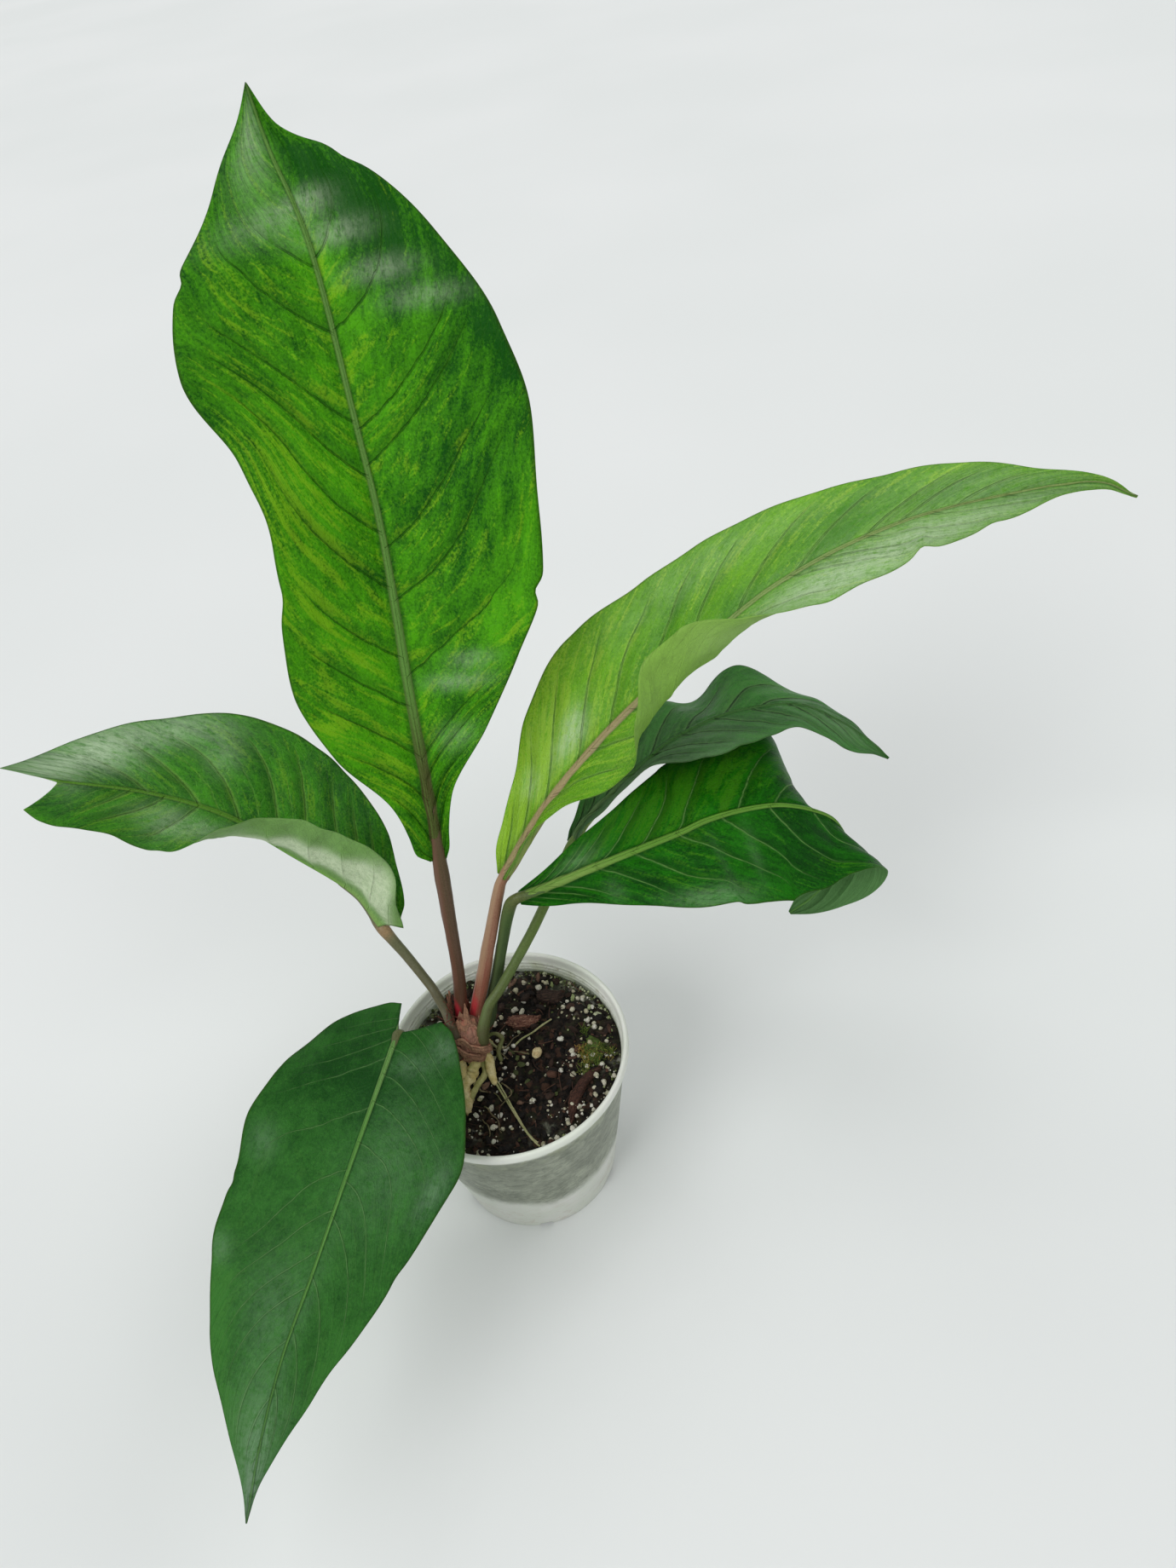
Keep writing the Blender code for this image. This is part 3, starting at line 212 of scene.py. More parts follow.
ROOTS = {
    "left": [(-16.8, 0.0, 94.0, 1.7), (-18.8, -1.4, 92.6, 1.6), (-19.5, -3.2, 89.6, 1.5), (-19.3, -5.6, 87.6, 1.6), (-19.6, -8.6, 84.6, 1.6), (-20.6, -10.6, 80.0, 1.4), (-21.0, -11.4, 70.0, 1.0)],
    "knobbly": [(-13.8, -1.0, 93.0, 2.2), (-14.0, -3.6, 90.4, 2.5), (-14.6, -5.6, 88.4, 2.7), (-16.2, -8.2, 86.2, 2.5), (-18.8, -11.2, 84.9, 1.95), (-19.6, -14.8, 84.0, 2.1), (-19.2, -18.0, 82.6, 1.9), (-19.5, -21.4, 81.4, 1.7), (-19.8, -23.0, 76.0, 1.1)],
    "middle": [(-11.6, -1.0, 90.0, 1.5), (-10.6, -3.8, 86.6, 1.5), (-10.6, -7.0, 84.7, 1.45), (-12.4, -9.8, 84.0, 1.4), (-14.4, -12.2, 83.6, 1.35), (-17.2, -16.0, 82.7, 1.3), (-18.4, -18.0, 79.0, 1.0)],
    "blunt": [(-10.0, -0.8, 93.0, 1.8), (-8.9, -2.6, 90.6, 1.95), (-8.1, -4.6, 88.8, 2.0), (-8.0, -7.6, 86.4, 1.85), (-7.4, -11.0, 84.2, 1.55), (-7.0, -13.4, 83.0, 0.95)],
    "rear_right": [(-11.8, 3.0, 92.0, 2.0), (-10.8, 4.0, 89.2, 1.9), (-10.5, 5.2, 87.0, 1.9), (-8.8, 8.4, 82.8, 1.9), (-7.4, 10.6, 77.0, 1.7), (-7.0, 11.4, 68.0, 1.1)],
    "rear_left": [(-17.0, 3.0, 92.0, 2.0), (-18.2, 4.0, 89.2, 1.9), (-18.6, 5.0, 87.0, 1.9), (-21.2, 7.8, 82.8, 1.9), (-23.0, 9.8, 77.0, 1.7), (-23.6, 10.4, 68.0, 1.1)],
    "to_rim": [(-9.0, -2.0, 89.0, 0.5), (-8.2, -7.0, 85.0, 0.42), (-7.0, -11.6, 83.2, 0.42), (-5.4, -15.6, 82.9, 0.42), (-1.2, -25.6, 82.8, 0.4), (4.3, -38.0, 82.6, 0.38), (8.0, -44.4, 83.4, 0.36), (9.4, -46.8, 84.8, 0.3)],
    "surface": [(-8.0, 6.4, 88.0, 0.7), (-5.0, 5.6, 83.0, 0.6), (-1.0, 4.6, 80.6, 0.5), (2.6, 4.8, 83.0, 0.42), (6.6, 6.8, 84.4, 0.4), (11.3, 9.1, 84.2, 0.4), (16.0, 11.6, 84.8, 0.42), (20.4, 14.2, 84.4, 0.35)],
}
ROOT_LUMPS = {"left": 0.2, "knobbly": 0.24, "middle": 0.12, "blunt": 0.14, "rear_right": 0.2, "rear_left": 0.2, "to_rim": 0.14, "surface": 0.12}

RIM_R, POT_H, LIP_H = 52.5, 89.0, 4.2
UNDER_LIP_R, FOOT_R, WALL = 50.8, 36.4, 1.2
FLOOR_Z, FLOOR_T, FOOT_W = 12.0, 1.3, 2.2
SOIL_EDGE, SOIL_DOME = 79.5, 1.8


def outer_r(z):
    return FOOT_R + (UNDER_LIP_R - FOOT_R) * z / (POT_H - LIP_H)


POT_IN_TOP = outer_r(SOIL_EDGE) - WALL - 0.3

# ---------------------------------------------------------------- seeded noise and curves
RNG = np.random.RandomState(20)
LATTICE = RNG.rand(48, 48, 48) * 2 - 1


def noise3(p):
    """Smooth noise from -1 to 1 at points (..., 3)."""
    p = np.asarray(p, float)
    i = np.floor(p).astype(int)
    f = p - i
    f = f * f * (3 - 2 * f)
    i %= 48
    j = (i + 1) % 48
    out = 0
    for a in (0, 1):
        for b in (0, 1):
            for c in (0, 1):
                x = (j if a else i)[..., 0]
                y = (j if b else i)[..., 1]
                z = (j if c else i)[..., 2]
                w = (f[..., 0] if a else 1 - f[..., 0]) * (f[..., 1] if b else 1 - f[..., 1]) * (f[..., 2] if c else 1 - f[..., 2])
                out = out + w * LATTICE[x, y, z]
    return out


def fbm(p, octaves=4, gain=0.5):
    p = np.asarray(p, float)
    out, size = 0, 1.0
    for k in range(octaves):
        out = out + size * noise3(p * 2.03**k + 7.7 * k)
        size *= gain
    return out


def table(pairs, s):
    """Smooth value at s through (share, value) pairs, with no overshoot."""
    xs = np.array([p[0] for p in pairs], float)
    ys = np.array([p[1] for p in pairs], float)
    h = np.diff(xs)
    d = np.diff(ys) / h
    m = np.zeros(len(xs))
    m[0], m[-1] = d[0], d[-1]
    for k in range(1, len(xs) - 1):
        m[k] = 0 if d[k - 1] * d[k] <= 0 else 2 * d[k - 1] * d[k] / (d[k - 1] + d[k])
    s = np.clip(np.asarray(s, float), xs[0], xs[-1])
    k = np.clip(np.searchsorted(xs, s, side="right") - 1, 0, len(xs) - 2)
    t = (s - xs[k]) / h[k]
    return ys[k] * (1 + 2 * t) * (1 - t) ** 2 + h[k] * m[k] * t * (1 - t) ** 2 + ys[k + 1] * t * t * (3 - 2 * t) + h[k] * m[k + 1] * t * t * (t - 1)


def spline(points, u):
    """Catmull-Rom curve through the points, u from 0 to 1."""
    p = np.asarray(points, float)
    n = len(p) - 1
    x = np.clip(np.atleast_1d(np.asarray(u, float)), 0, 1) * n
    i = np.minimum(x.astype(int), n - 1)
    t = (x - i)[:, None]
    held = np.vstack([2 * p[0] - p[1], p, 2 * p[-1] - p[-2]])
    a, b, c, d = held[i], held[i + 1], held[i + 2], held[i + 3]
    return 0.5 * (2 * b + (c - a) * t + (2 * a - 5 * b + 4 * c - d) * t * t + (3 * b - a - 3 * c + d) * t**3)


def step(x, low, high):
    t = np.clip((x - low) / (high - low), 0, 1)
    return t * t * (3 - 2 * t)


# ---------------------------------------------------------------- meshes
def make(name, verts, faces, mat, replaces=(), fields=None, sharp=None):
    """A piece that rides on the frame, from points in mm."""
    mesh = bpy.data.meshes.new(name)
    mesh.from_pydata(((np.asarray(verts, float) + AT) * MM).tolist(), [], [list(map(int, f)) for f in faces])
    for key, value in (fields or {}).items():
        value = np.asarray(value, np.float32)
        if value.ndim == 2:
            mesh.attributes.new(key, "FLOAT_VECTOR", "POINT").data.foreach_set("vector", value.ravel())
        else:
            mesh.attributes.new(key, "FLOAT", "POINT").data.foreach_set("value", value)
    bm = bmesh.new()
    bm.from_mesh(mesh)
    bmesh.ops.recalc_face_normals(bm, faces=bm.faces)
    bm.to_mesh(mesh)
    bm.free()
    mesh.shade_smooth()
    if sharp:
        mesh.set_sharp_from_angle(angle=math.radians(sharp))
    obj = bpy.data.objects.new(name, mesh)
    bpy.context.scene.collection.objects.link(obj)
    mesh.materials.append(mat)
    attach(obj, "root")
    if replaces:
        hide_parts(*replaces)
    return obj


def sheet_faces(rows, cols, base=0, wrap=False):
    i = np.arange(rows - 1)[:, None]
    j = np.arange(cols if wrap else cols - 1)[None, :]
    k = (j + 1) % cols
    a, b = base + i * cols + j, base + i * cols + k
    c, d = base + (i + 1) * cols + k, base + (i + 1) * cols + j
    return np.stack([a, b, c, d], -1).reshape(-1, 4).tolist()


class Heap:
    """Collects many small closed bodies for one piece."""

    def __init__(self):
        self.verts, self.faces, self.fields, self.count = [], [], {}, 0

    def add(self, verts, faces, **fields):
        verts = np.asarray(verts, float)
        self.verts.append(verts)
        self.faces += [[i + self.count for i in f] for f in faces]
        for key, value in fields.items():
            value = np.asarray(value, float)
            if value.ndim < 1 or len(value) != len(verts):
                value = np.tile(value, (len(verts), 1)) if value.ndim else np.full(len(verts), float(value))
            self.fields.setdefault(key, []).append(value)
        self.count += len(verts)

    def make(self, name, mat, slot, replaces=(), sharp=None):
        fields = {k: np.concatenate(v) for k, v in self.fields.items()}
        return make(name, np.vstack(self.verts), self.faces, mat, replaces, fields, sharp)


def ball(steps):
    bm = bmesh.new()
    bmesh.ops.create_icosphere(bm, subdivisions=steps, radius=1.0)
    verts = np.array([v.co[:] for v in bm.verts])
    faces = [[v.index for v in f.verts] for f in bm.faces]
    bm.free()
    return verts, faces


BALLS = {k: ball(k) for k in (1, 2, 3, 4, 5)}


def turned(rng, points, tilt=math.pi):
    """The points turned to a seeded random attitude."""
    m = Matrix.Rotation(rng.rand() * 2 * math.pi, 3, "Z") @ Matrix.Rotation((rng.rand() - 0.5) * 2 * tilt, 3, "X") @ Matrix.Rotation(rng.rand() * 2 * math.pi, 3, "Z")
    return points @ np.array(m).T


def grain(rng, size, detail=2, rough=0.25, flat=(1, 1, 1), angular=0.0):
    """An irregular crumb about size mm across."""
    verts, faces = BALLS[detail]
    v = verts.copy()
    if angular:
        for _ in range(7):
            n = rng.randn(3)
            n /= np.linalg.norm(n)
            d = v @ n
            v -= np.outer(np.maximum(d - (0.55 + 0.3 * rng.rand()), 0) * angular, n)
    seed = rng.rand(3) * 40
    v = v * (1 + rough * fbm(v * 1.3 + seed, 3))[:, None]
    v = v * np.array(flat) * size / 2
    return v, faces


def tube(points, rings, sides, shape=None, round_ends=(True, True), up=(0, 0, 1)):
    """Closed tube through (x, y, z, radius); shape(share, angle, mm along) scales the radius.
    Gives points, faces, share, angle and length so far for each point."""
    p = np.asarray(points, float)
    fine = spline(p, np.linspace(0, 1, 60 * len(p)))
    cum = np.concatenate([[0], np.cumsum(np.linalg.norm(np.diff(fine[:, :3], axis=0), axis=1))])
    total = cum[-1]
    ends = [0.0, 0.25, 0.5, 0.75, 1.0]
    r0, r1 = fine[0, 3], fine[-1, 3]
    at = np.linspace(0, total, rings)
    if round_ends[0]:
        at = np.concatenate([[0, 0.08 * r0, 0.3 * r0, 0.62 * r0], at[at > r0]])
    if round_ends[1]:
        at = np.concatenate([at[at < total - r1], [total - 0.62 * r1, total - 0.3 * r1, total - 0.08 * r1, total]])
    path = np.stack([np.interp(at, cum, fine[:, k]) for k in range(4)], 1)
    tangent = np.gradient(path[:, :3], axis=0)
    tangent /= np.linalg.norm(tangent, axis=1)[:, None]
    right = np.cross(tangent[0], np.array(up, float))
    if np.linalg.norm(right) < 0.1:
        right = np.cross(tangent[0], (1, 0, 0))
    frames = []
    for t in tangent:
        right = right - (right @ t) * t
        right /= np.linalg.norm(right)
        frames.append(right.copy())
    right = np.array(frames)
    over = np.cross(right, tangent)
    angle = np.linspace(0, 2 * np.pi, sides, endpoint=False)
    share = at / total
    radius = path[:, 3].copy()
    if round_ends[0]:
        near = at < r0
        radius[near] *= np.sqrt(np.maximum(1 - (1 - at[near] / r0) ** 2, 0.02))
    if round_ends[1]:
        near = at > total - r1
        radius[near] *= np.sqrt(np.maximum(1 - (1 - (total - at[near]) / r1) ** 2, 0.02))
    s2, a2 = np.meshgrid(share, angle, indexing="ij")
    m2 = s2 * total
    r2 = radius[:, None] * (shape(s2, a2, m2) if shape else np.ones_like(s2))
    verts = path[:, None, :3] + r2[..., None] * (np.cos(a2)[..., None] * right[:, None] + np.sin(a2)[..., None] * over[:, None])
    rows = len(at)
    faces = sheet_faces(rows, sides, 0, True)
    flat = verts.reshape(-1, 3)
    flat = np.vstack([flat, path[0, :3], path[-1, :3]])
    n = rows * sides
    for j in range(sides):
        k = (j + 1) % sides
        faces.append([n, k, j])
        faces.append([n + 1, (rows - 1) * sides + j, (rows - 1) * sides + k])
    extend = lambda x, a, b: np.concatenate([x.ravel(), [a, b]])
    outward = np.cos(a2)[..., None] * right[:, None] + np.sin(a2)[..., None] * over[:, None]
    outward = np.vstack([outward.reshape(-1, 3), -tangent[0], tangent[-1]])
    return flat, faces, extend(s2, 0, 1), extend(a2, 0, 0), extend(m2, 0, total), outward


# ---------------------------------------------------------------- material graphs
class Graph:
    def __init__(self, name):
        self.mat = bpy.data.materials.new(name)
        self.mat.use_nodes = True
        self.tree = self.mat.node_tree
        self.shader = self.tree.nodes["Principled BSDF"]
        self.x = -300

    def feed(self, socket, value):
        if isinstance(value, bpy.types.NodeSocket):
            self.tree.links.new(value, socket)
        elif isinstance(value, (tuple, list)) and socket.type == "RGBA":
            socket.default_value = (*value, 1.0) if len(value) == 3 else value
        else:
            socket.default_value = value

    def node(self, kind, **settings):
        n = self.tree.nodes.new(kind)
        self.x -= 20
        n.location = (self.x, 0)
        for k, v in settings.items():
            setattr(n, k, v)
        return n

    def field(self, name, vector=True):
        n = self.node("ShaderNodeAttribute", attribute_name=name)
        return n.outputs["Vector" if vector else "Fac"]

    def split(self, vector):
        n = self.node("ShaderNodeSeparateXYZ")
        self.feed(n.inputs[0], vector)
        return n.outputs[0], n.outputs[1], n.outputs[2]

    def join(self, x, y, z=0.0):
        n = self.node("ShaderNodeCombineXYZ")
        for s, v in zip(n.inputs, (x, y, z)):
            self.feed(s, v)
        return n.outputs[0]

    def math(self, op, a, b=0.0, c=0.0, clamp=False):
        n = self.node("ShaderNodeMath", operation=op, use_clamp=clamp)
        for s, v in zip(n.inputs, (a, b, c)):
            self.feed(s, v)
        return n.outputs[0]

    def add(self, a, b, clamp=False):
        return self.math("ADD", a, b, clamp=clamp)

    def mul(self, a, b, clamp=False):
        return self.math("MULTIPLY", a, b, clamp=clamp)

    def span(self, value, low, high, to_low=0.0, to_high=1.0, smooth=True):
        n = self.node("ShaderNodeMapRange", interpolation_type="SMOOTHSTEP" if smooth else "LINEAR")
        for s, v in zip(n.inputs, (value, low, high, to_low, to_high)):
            self.feed(s, v)
        return n.outputs[0]

    def scale(self, vector, by):
        n = self.node("ShaderNodeVectorMath", operation="MULTIPLY")
        self.feed(n.inputs[0], vector)
        n.inputs[1].default_value = by if isinstance(by, tuple) else (by, by, by)
        return n.outputs[0]

    def mix(self, fac, a, b, kind="MIX"):
        n = self.node("ShaderNodeMix", data_type="RGBA", blend_type=kind)
        self.feed(n.inputs[0], fac)
        self.feed(n.inputs[6], a)
        self.feed(n.inputs[7], b)
        return n.outputs[2]

    def noise(self, vector, scale=1.0, detail=3.0, rough=0.5, distort=0.0):
        n = self.node("ShaderNodeTexNoise")
        self.feed(n.inputs["Vector"], vector)
        n.inputs["Scale"].default_value = scale
        n.inputs["Detail"].default_value = detail
        n.inputs["Roughness"].default_value = rough
        n.inputs["Distortion"].default_value = distort
        return n.outputs[0]

    def cells(self, vector, scale=1.0, feature="F1", out="Distance", jitter=1.0):
        n = self.node("ShaderNodeTexVoronoi", feature=feature)
        self.feed(n.inputs["Vector"], vector)
        n.inputs["Scale"].default_value = scale
        n.inputs["Randomness"].default_value = jitter
        return n.outputs[out]

    def ramp(self, fac, stops, kind="LINEAR"):
        n = self.node("ShaderNodeValToRGB")
        n.color_ramp.interpolation = kind
        e = n.color_ramp.elements
        while len(e) > 1:
            e.remove(e[-1])
        e[0].position, e[0].color = stops[0][0], (*stops[0][1], 1.0)
        for at, colour in stops[1:]:
            e.new(at).color = (*colour, 1.0)
        self.feed(n.inputs[0], fac)
        return n.outputs[0]

    def spot(self):
        """Place on the object, in mm."""
        return self.scale(self.node("ShaderNodeTexCoord").outputs["Object"], 1000.0)

    def bump(self, height, distance, strength=1.0):
        n = self.node("ShaderNodeBump")
        n.inputs["Strength"].default_value = strength
        n.inputs["Distance"].default_value = distance
        self.feed(n.inputs["Height"], height)
        self.tree.links.new(n.outputs[0], self.shader.inputs["Normal"])

    def finish(self, colour, rough, **inputs):
        self.feed(self.shader.inputs["Base Color"], colour)
        self.feed(self.shader.inputs["Roughness"], rough)
        for key, value in inputs.items():
            self.feed(self.shader.inputs[key.replace("_", " ")], value)
        return self.mat


def leaf_material(name, dark, bright, yellow, below, rib, rib_base, vein, vein_edge, vein_w=0.3, vein_gain=0.7, edge_gain=0.3, streak=0.5, mottle=0.5, rough=0.36, sheen_colour=(0.5, 0.62, 0.42), rib_base_at=(0.12, 0.3), margin=(0.03, 0.09, 0.005), shading=0.5, coat=0.0, specular=0.3, raised=False, net=0.25, fade=(0.93, 0.84), rib_fade=(1.4, 1.5), pale=(0.6, 0.72, 0.45), grainy=0.0, long=200.0, swell=1.8):
    """Leaf skin. leaf_a: lateral vein count, mm between veins, mm from the midrib (signed).
    leaf_b: share of the length, share of the half width (signed), 1 on the underside.
    leaf_c: mm along and across the lateral veins. leaf_d: tone, which is the leaf's own mottling together with painted
    light and shade, film, which is painted sheen and highlights, and the half width of the midrib."""
    g = Graph(name)
    phi, pitch, dmid = g.split(g.field("leaf_a"))
    s, t, under = g.split(g.field("leaf_b"))
    c = g.field("leaf_c")
    flat = g.join(g.mul(s, long), dmid, 3.0)
    tone, film, spare = g.split(g.field("leaf_d"))
    at, ad = g.math("ABSOLUTE", t), g.math("ABSOLUTE", dmid)
    wander = g.mul(g.add(g.noise(c, 0.16, 3.0), -0.5), 0.09)
    turn = g.add(g.math("FRACT", g.add(g.add(phi, wander), 0.5)), -0.5)
    signed = g.mul(turn, pitch)
    dlat = g.math("ABSOLUTE", signed)
    reach = g.mul(g.span(at, 0.93, 0.6), g.span(s, fade[0], fade[1]))
    broken = g.span(g.noise(c, 0.35, 3.0, 0.6), 0.3, 0.6, 0.45, 1.0)
    wide = g.add(g.mul(g.span(at, 0.0, 0.9, 1.0, 0.25, False), vein_w), 0.07)
    line = g.mul(g.mul(g.span(g.math("DIVIDE", dlat, wide), 1.5, 0.5), reach), broken)
    edge = g.mul(g.span(g.math("DIVIDE", dlat, wide), 4.5, 1.2), reach)
    half = g.math("ABSOLUTE", g.add(g.math("FRACT", g.add(g.add(g.mul(phi, 2.0), g.mul(wander, 3.0)), 0.5)), -0.5))
    minor = g.mul(g.mul(g.span(g.mul(g.mul(half, 0.5), pitch), 0.5, 0.12), g.span(at, 0.75, 0.4)), broken)
    mesh_a = g.span(g.cells(g.scale(c, (0.17, 0.32, 1.0)), 1.0, "DISTANCE_TO_EDGE"), 0.06, 0.0)
    mesh_b = g.span(g.cells(g.scale(c, (0.65, 0.9, 1.0)), 1.0, "DISTANCE_TO_EDGE"), 0.1, 0.0)
    nets = g.add(g.mul(mesh_a, 0.7), g.mul(mesh_b, 0.4), True)
    # the blade between veins
    big = g.noise(g.scale(c, (0.03, 0.05, 1.0)), 1.0, 3.0, 0.55)
    stripes = g.noise(g.scale(c, (0.05 + 0.12 * grainy, 0.3, 1.0)), 1.0, 6.0, 0.7, 0.6)
    blotch = g.noise(flat if grainy else g.scale(c, (0.16, 0.26, 1.0)), 0.17 if grainy else 1.0, 5.0, 0.66, 0.3)
    fine = g.noise(flat, 1.1, 4.0, 0.68)
    speck = g.noise(flat, 3.6, 2.0, 0.6)
    level = g.add(g.mul(g.add(big, -0.5), swell), g.add(g.mul(g.add(blotch, -0.5), 3.0 * mottle), g.mul(g.add(fine, -0.5), 2.6 * mottle)))
    # tone adds the tone patches: the leaf's own mottling together with painted light and shade
    level = g.add(g.add(level, g.mul(g.add(speck, -0.5), 1.4 * mottle)), g.add(tone, 0.5))
    colour = g.mix(g.span(level, 0.0, 1.0, smooth=False), dark, bright)
    streaks = g.add(g.mul(g.add(stripes, -0.5), 4.6), g.add(g.mul(g.add(fine, -0.5), 1.8), g.mul(tone, 1.1)))
    colour = g.mix(g.mul(g.span(streaks, 0.12, 0.85), streak), colour, yellow)
    shade = g.mul(g.span(signed, 0.0, 6.0, shading, 0.0), g.mul(reach, g.span(signed, -0.4, 0.2)))
    colour = g.mix(shade, colour, tuple(0.6 * x for x in dark))
    colour = g.mix(g.mul(nets, net), colour, g.mix(0.5, colour, vein_edge))
    colour = g.mix(g.mul(minor, 0.5 * edge_gain), colour, vein_edge)
    colour = g.mix(g.mul(edge, edge_gain), colour, vein_edge)
    colour = g.mix(g.mul(line, vein_gain), colour, vein)
    # painted sheen: whitish highlights laid into the colour at the film patches, broken into streaks and dusty specks
    dusty = g.noise(flat, 0.5, 6.0, 0.72)
    wrinkle = g.noise(g.scale(c, (0.3, 0.42, 1.0)), 1.0, 6.0, 0.7, 1.0)
    broken_sheen = g.add(g.add(g.mul(g.add(stripes, -0.5), 0.7 - 0.4 * grainy), g.mul(g.add(dusty, -0.5), 2.8 + 1.0 * grainy)), g.add(g.mul(g.add(wrinkle, -0.5), 2.2 - 1.2 * grainy), 0.8))
    painted_sheen = g.mul(g.span(film, 0.0, 1.0, 0.0, 1.0, False), g.span(broken_sheen, -0.25, 1.2))
    colour = g.mix(painted_sheen, colour, sheen_colour)
    # midrib
    core = g.math("DIVIDE", ad, g.math("MAXIMUM", spare, 0.2))
    on_rib = g.mul(g.span(core, 1.1, 0.8), g.span(s, rib_fade[0], rib_fade[1], 1.0, 0.35))
    rib_now = g.mix(g.span(s, rib_base_at[0], rib_base_at[1]), rib_base, rib)
    lines = g.noise(g.join(g.mul(s, 6.0), g.mul(dmid, 2.4), 0.0), 1.0, 4.0, 0.6)
    rib_now = g.mix(g.span(lines, 0.35, 0.7, 0.0, 0.5), rib_now, g.mix(0.5, rib_now, tuple(min(1, 1.9 * x) for x in rib)))
    # painted highlight along the top of the midrib, painted shade at its sides and on the blade beside it
    rib_now = g.mix(g.span(core, 0.3, 0.0, 0.0, 0.4), rib_now, tuple(min(1, 1.6 * x + 0.01) for x in rib))
    rib_now = g.mix(g.span(core, 0.55, 0.95, 0.0, 0.45), rib_now, tuple(0.6 * x for x in rib_base))
    colour = g.mix(g.mul(g.span(core, 2.0, 1.0), 0.45), colour, tuple(0.5 * x for x in dark))
    colour = g.mix(on_rib, colour, rib_now)
    # margin
    colour = g.mix(g.span(at, 0.975, 0.995, 0.0, 0.6), colour, margin)
    # underside: paler, with the veins standing out
    beneath = g.mix(g.span(g.add(level, 0.1), 0.0, 1.0, smooth=False), tuple(0.7 * x for x in below), below)
    beneath = g.mix(g.mul(nets, 0.3), beneath, tuple(0.7 * x for x in below))
    beneath = g.mix(g.mul(edge, 0.4), beneath, tuple(min(1, 1.2 * x) for x in below))
    beneath = g.mix(g.mul(line, 0.6), beneath, tuple(min(1, 1.4 * x) for x in below))
    beneath = g.mix(on_rib, beneath, g.mix(0.5, rib_now, tuple(min(1, 1.3 * x) for x in below)))
    # painted sheen on the underside: at the film patches it is lightened toward the pale colour
    beneath = g.mix(g.mul(g.span(film, 0.1, 0.9), g.span(dusty, 0.3, 0.65, 0.6, 1.0)), beneath, pale)
    colour = g.mix(g.span(under, 0.45, 0.55), colour, beneath)
    rough_now = g.add(g.span(fine, 0.3, 0.7, rough - 0.08, rough + 0.1), g.mul(film, 0.1))
    rough_now = g.add(rough_now, g.mul(g.span(under, 0.45, 0.55), 0.2), True)
    rise = g.add(g.mul(line, 1.0 if raised else -1.2), g.mul(nets, 0.3 if raised else -0.38))
    rise = g.add(rise, g.mul(minor, 0.25 if raised else -0.3))
    rise = g.add(rise, g.add(g.mul(fine, 0.8), g.mul(speck, 0.3)))
    rise = g.add(rise, g.mul(lines, g.mul(on_rib, 0.6)))
    g.bump(rise, 0.0004, 1.0)
    return g.finish(colour, rough_now, Specular_IOR_Level=specular, Coat_Weight=coat, Coat_Roughness=0.2)


# ---------------------------------------------------------------- leaves
class Blade:
    """A midrib curve with two folded, curling halves."""

    def __init__(self, spec):
        self.spec = spec
        u = np.linspace(0, 1, 1200)
        fine = spline(spec["rib"], u)
        cum = np.concatenate([[0], np.cumsum(np.linalg.norm(np.diff(fine, axis=0), axis=1))])
        self.length, self.u, self.cum = cum[-1], u, cum / cum[-1]

    def middle(self, s):
        return spline(self.spec["rib"], np.interp(s, self.cum, self.u))

    def axes(self, s):
        spec = self.spec
        tangent = self.middle(np.clip(s + 0.01, 0, 1)) - self.middle(np.clip(s - 0.01, 0, 1))
        tangent /= np.linalg.norm(tangent, axis=1)[:, None]
        if "side" in spec:
            aim = np.stack([table([(r[0], r[k]) for r in spec["side"]], s) for k in (1, 2, 3)], 1)
            right = aim - (tangent * aim).sum(1)[:, None] * tangent
        else:
            right = np.cross(tangent, np.array(spec["up"], float))
        right /= np.linalg.norm(right, axis=1)[:, None]
        above = np.cross(right, tangent)
        roll = np.radians(table(spec.get("roll", [(0, 0), (1, 0)]), s))[:, None]
        return tangent, np.cos(roll) * right + np.sin(roll) * above, np.cos(roll) * above - np.sin(roll) * right

    def half(self, key, s):
        width = table(self.spec["w" + key], s)
        for way, at, depth, wide in self.spec["nicks"]:
            if (way > 0) == (key == "R"):
                width = width * (1 - depth * np.exp(-(((s - at) / wide) ** 2)))
        return width

    def point(self, s, t, way):
        key = "R" if way > 0 else "L"
        spec = self.spec
        tangent, right, above = self.axes(s)
        flat = [(0, 0), (1, 0)]
        fold = np.radians(table(spec.get("fold" + key, flat), s))
        curl = np.radians(table(spec.get("curl" + key, flat), s))
        curl = np.where(abs(curl) < 1e-4, 1e-4, curl)
        width = self.half(key, s)
        out = width * (np.sin(fold + curl * t) - np.sin(fold)) / curl
        rise = width * (np.cos(fold) - np.cos(fold + curl * t)) / curl
        sweep = table(spec.get("back" + key, flat), s) * t**1.3
        return self.middle(s) + (way * out)[:, None] * right + rise[:, None] * above - sweep[:, None] * tangent


def vein_count(veins, s, t):
    """Which lateral vein passes a place: whole numbers lie on the veins."""
    root = s - table(veins["lean"], s) * t - table(veins["bow"], s) * t * t
    starts = np.array(veins["starts"], float)
    xs = np.concatenate([[starts[0] - 6 * (starts[1] - starts[0])], starts, [starts[-1] + 8 * (starts[-1] - starts[-2])]])
    ys = np.concatenate([[-6], np.arange(len(starts)), [len(starts) + 7]])
    return np.interp(root, xs, ys)


def patches(rows, s, t):
    out = np.zeros_like(s)
    for a, b, wide_s, wide_t, amount in rows:
        out += amount * np.exp(-(((s - a) / wide_s) ** 2) - ((t - b) / wide_t) ** 2)
    return out


